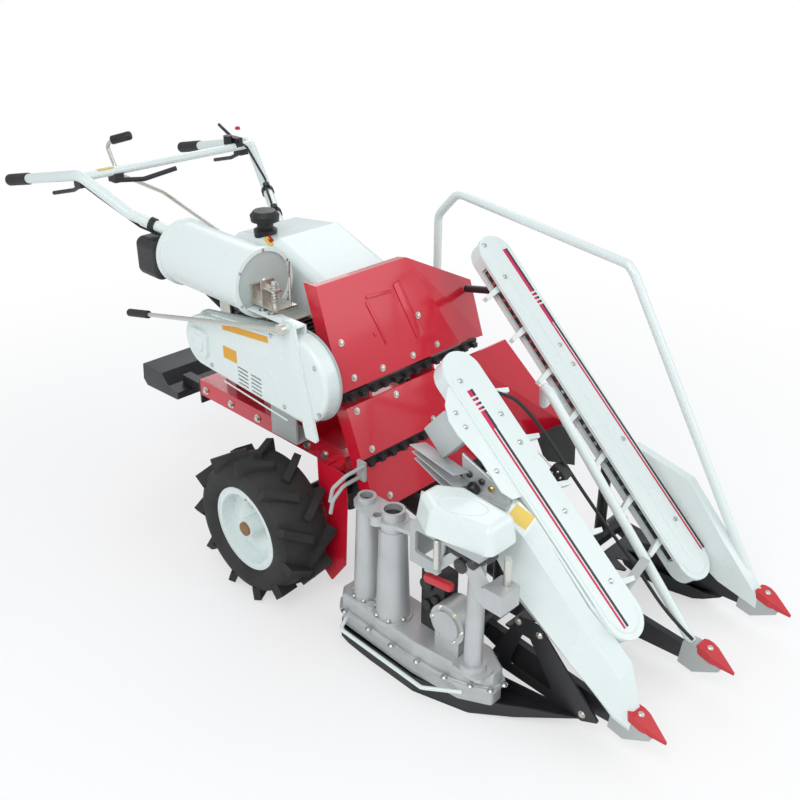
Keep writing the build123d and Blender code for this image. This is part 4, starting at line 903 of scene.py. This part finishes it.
class PieceProps(bpy.types.PropertyGroup):
    """Sizes of the small pieces"""
    case_screw: bpy.props.FloatProperty(
        name="Case Screw", description="Radius of the screws in the raising cases' covers",
        unit="LENGTH", precision=4, min=0.001, default=0.0065)
    guide_wire: bpy.props.FloatProperty(
        name="Guide Wire", description="Radius of the wires that guide the raising chains",
        unit="LENGTH", precision=4, min=0.001, default=0.0022)
    header_cable: bpy.props.FloatProperty(
        name="Header Cable", description="Radius of the cable that runs down to the middle tip",
        unit="LENGTH", precision=4, min=0.001, default=0.0042)
    shield_bolt: bpy.props.FloatProperty(
        name="Shield Bolt", description="Half the width of the shield's bolt heads over their corners",
        unit="LENGTH", precision=4, min=0.001, default=0.006)
    rail_bolt: bpy.props.FloatProperty(
        name="Rail Bolt", description="Half the width of the rails' bolt heads over their corners",
        unit="LENGTH", precision=4, min=0.001, default=0.008)
    valve: bpy.props.FloatProperty(
        name="Valve", description="Radius of the tyres' valves", unit="LENGTH", precision=4,
        min=0.001, default=0.0038)


class StageProps(bpy.types.PropertyGroup):
    """Light and floor"""
    light: bpy.props.FloatProperty(
        name="Light", description="Level of the studio light", subtype="FACTOR", min=0.0, max=4.0,
        default=1.0)
    floor: bpy.props.FloatProperty(
        name="Floor", description="Width of the floor", unit="LENGTH", min=4.0, default=14.0)


class FinishesOperator(bpy.types.Operator):
    """Make the finishes and put them on the carried-over pieces"""
    bl_idname = "binder.finishes"
    bl_label = "Finishes"

    def execute(self, context):
        props = context.scene.binder_finish
        make_materials(tuple(props.red), tuple(props.white))
        dressed = {n for names in CAD_FINISH.values() for n in names}
        if dressed != set(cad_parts):
            raise RuntimeError("the finish table does not match the model")
        for finish, names in CAD_FINISH.items():
            for name in names:
                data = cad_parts[name].data
                data.materials.clear()
                data.materials.append(MATERIALS[finish])
        return {"FINISHED"}


class StripesOperator(bpy.types.Operator):
    """Make the red and dark stripes of both raising cases"""
    bl_idname = "binder.stripes"
    bl_label = "Case Stripes"

    def execute(self, context):
        make_stripes()
        return {"FINISHED"}


class CaseTrimOperator(bpy.types.Operator):
    """Make the screws and ribs of the raising cases' covers"""
    bl_idname = "binder.case_trim"
    bl_label = "Case Screws and Ribs"

    def execute(self, context):
        props = context.scene.binder_pieces
        make_case_trim(props.case_screw)
        return {"FINISHED"}


class RaisingChainsOperator(bpy.types.Operator):
    """Make the raising chains and their guide wires"""
    bl_idname = "binder.raising_chains"
    bl_label = "Raising Chains"

    def execute(self, context):
        props = context.scene.binder_pieces
        make_raising_chains(props.guide_wire)
        return {"FINISHED"}


class HeaderCableOperator(bpy.types.Operator):
    """Make the cable that runs down to the middle tip"""
    bl_idname = "binder.header_cable"
    bl_label = "Header Cable"

    def execute(self, context):
        props = context.scene.binder_pieces
        make_header_cable(props.header_cable)
        return {"FINISHED"}


class CropFlapOperator(bpy.types.Operator):
    """Make the rubber flap of the lower shield"""
    bl_idname = "binder.crop_flap"
    bl_label = "Crop Flap"

    def execute(self, context):
        make_crop_flap()
        return {"FINISHED"}


class CaseEarOperator(bpy.types.Operator):
    """Make the white wing of the right case"""
    bl_idname = "binder.case_ear"
    bl_label = "Case Ear"

    def execute(self, context):
        make_case_ear()
        return {"FINISHED"}


class GuideBladesOperator(bpy.types.Operator):
    """Make the guide box, its blades and the bracket over the knotter"""
    bl_idname = "binder.guide_blades"
    bl_label = "Guide Blades and Bracket"

    def execute(self, context):
        make_guide_blades()
        return {"FINISHED"}


class HeaderLinksOperator(bpy.types.Operator):
    """Make the link and the cable bracket beside the right case"""
    bl_idname = "binder.header_links"
    bl_label = "Header Links"

    def execute(self, context):
        make_header_links()
        return {"FINISHED"}


class EndRimsOperator(bpy.types.Operator):
    """Make the rims at the lower ends of the raising cases"""
    bl_idname = "binder.end_rims"
    bl_label = "Case End Rims"

    def execute(self, context):
        make_end_rims()
        return {"FINISHED"}


class LeverShelfOperator(bpy.types.Operator):
    """Make the white channel behind the shield's upright"""
    bl_idname = "binder.lever_shelf"
    bl_label = "Lever Shelf"

    def execute(self, context):
        make_lever_shelf()
        return {"FINISHED"}


class TankLabelsOperator(bpy.types.Operator):
    """Make the blank labels of the fuel tank"""
    bl_idname = "binder.tank_labels"
    bl_label = "Tank Labels"

    def execute(self, context):
        make_tank_labels()
        return {"FINISHED"}


class ShieldRibsOperator(bpy.types.Operator):
    """Make the pressed ribs of the upper red panel"""
    bl_idname = "binder.shield_ribs"
    bl_label = "Shield Ribs"

    def execute(self, context):
        make_shield_ribs()
        return {"FINISHED"}


class ShieldBoltsOperator(bpy.types.Operator):
    """Make the bolts of the red shield and the chassis rails"""
    bl_idname = "binder.shield_bolts"
    bl_label = "Shield and Rail Bolts"

    def execute(self, context):
        props = context.scene.binder_pieces
        make_shield_bolts(props.shield_bolt, props.rail_bolt)
        return {"FINISHED"}


class GuardTrimOperator(bpy.types.Operator):
    """Make the belt guard's labels, boss cap, lines and screws"""
    bl_idname = "binder.guard_trim"
    bl_label = "Belt Guard Trim"

    def execute(self, context):
        make_guard_trim()
        return {"FINISHED"}


class WheelTrimOperator(bpy.types.Operator):
    """Make each wheel's nuts, hub cap and valve"""
    bl_idname = "binder.wheel_trim"
    bl_label = "Wheel Trim"

    def execute(self, context):
        props = context.scene.binder_pieces
        make_wheel_trim(props.valve)
        return {"FINISHED"}


class CanisterTrimOperator(bpy.types.Operator):
    """Make the twine canister's end plate, screws and spring"""
    bl_idname = "binder.canister_trim"
    bl_label = "Canister Trim"

    def execute(self, context):
        make_canister_trim()
        return {"FINISHED"}


class BinderTrimOperator(bpy.types.Operator):
    """Make the binding unit's bolts, catch, rim and label"""
    bl_idname = "binder.binder_trim"
    bl_label = "Binding Unit Trim"

    def execute(self, context):
        make_binder_trim()
        return {"FINISHED"}


class KnotterWorksOperator(bpy.types.Operator):
    """Make the knotter's dark parts, its pins and the painted shade in the arm's bores"""
    bl_idname = "binder.knotter_works"
    bl_label = "Knotter Works"

    def execute(self, context):
        make_knotter_works()
        return {"FINISHED"}


class FeedDriveOperator(bpy.types.Operator):
    """Make the feed drive and the gear case's lip"""
    bl_idname = "binder.feed_drive"
    bl_label = "Feed Drive"

    def execute(self, context):
        make_feed_drive()
        return {"FINISHED"}


class BarTrimOperator(bpy.types.Operator):
    """Make the handlebar's label, the stop button and the gear knob"""
    bl_idname = "binder.bar_trim"
    bl_label = "Handlebar Trim"

    def execute(self, context):
        make_bar_trim()
        return {"FINISHED"}


class HeaderTrimOperator(bpy.types.Operator):
    """Make the bolts of the divider tips and the header"""
    bl_idname = "binder.header_trim"
    bl_label = "Header Trim"

    def execute(self, context):
        make_header_trim()
        return {"FINISHED"}


class StageOperator(bpy.types.Operator):
    """Set the camera, the lights and the floor"""
    bl_idname = "binder.stage"
    bl_label = "Camera, Lights and Floor"

    def execute(self, context):
        props = context.scene.binder_stage
        make_camera()
        make_lights(props.light)
        make_floor(props.floor)
        return {"FINISHED"}


OPERATORS = [
    FinishesOperator,
    StripesOperator,
    CaseTrimOperator,
    RaisingChainsOperator,
    HeaderCableOperator,
    CropFlapOperator,
    CaseEarOperator,
    GuideBladesOperator,
    HeaderLinksOperator,
    EndRimsOperator,
    LeverShelfOperator,
    TankLabelsOperator,
    ShieldRibsOperator,
    ShieldBoltsOperator,
    GuardTrimOperator,
    WheelTrimOperator,
    CanisterTrimOperator,
    BinderTrimOperator,
    KnotterWorksOperator,
    FeedDriveOperator,
    BarTrimOperator,
    HeaderTrimOperator,
    StageOperator,
]
# Each group of properties, and the scene's name for it
GROUPS = {"binder_finish": FinishProps, "binder_pieces": PieceProps, "binder_stage": StageProps}


class BinderPanel(bpy.types.Panel):
    """The binder's colours, sizes and operators"""
    bl_idname = "VIEW3D_PT_binder"
    bl_label = "Reaper Binder"
    bl_space_type = "VIEW_3D"
    bl_region_type = "UI"
    bl_category = "Reaper Binder"

    def draw(self, context):
        for pointer, group in GROUPS.items():
            for name in group.__annotations__:
                self.layout.prop(getattr(context.scene, pointer), name)
        for operator in OPERATORS:
            self.layout.operator(operator.bl_idname)


CLASSES = [*GROUPS.values(), *OPERATORS, BinderPanel]


def register():
    """Add the properties, the operators and the panel."""
    for cls in CLASSES:
        bpy.utils.register_class(cls)
    for pointer, group in GROUPS.items():
        setattr(bpy.types.Scene, pointer, bpy.props.PointerProperty(type=group))


def unregister():
    """Take the properties, the operators and the panel away again."""
    for pointer in GROUPS:
        delattr(bpy.types.Scene, pointer)
    for cls in reversed(CLASSES):
        bpy.utils.unregister_class(cls)


def main():
    """Dress the frame's pieces, add the small ones and set the stage."""
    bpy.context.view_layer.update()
    register()
    bpy.ops.binder.finishes()
    bpy.ops.binder.stripes()
    bpy.ops.binder.case_trim()
    bpy.ops.binder.raising_chains()
    bpy.ops.binder.header_cable()
    bpy.ops.binder.crop_flap()
    bpy.ops.binder.case_ear()
    bpy.ops.binder.guide_blades()
    bpy.ops.binder.header_links()
    bpy.ops.binder.end_rims()
    bpy.ops.binder.lever_shelf()
    bpy.ops.binder.tank_labels()
    bpy.ops.binder.shield_ribs()
    bpy.ops.binder.shield_bolts()
    bpy.ops.binder.guard_trim()
    bpy.ops.binder.wheel_trim()
    bpy.ops.binder.canister_trim()
    bpy.ops.binder.binder_trim()
    bpy.ops.binder.knotter_works()
    bpy.ops.binder.feed_drive()
    bpy.ops.binder.bar_trim()
    bpy.ops.binder.header_trim()
    bpy.ops.binder.stage()


if __name__ == "__main__":
    main()
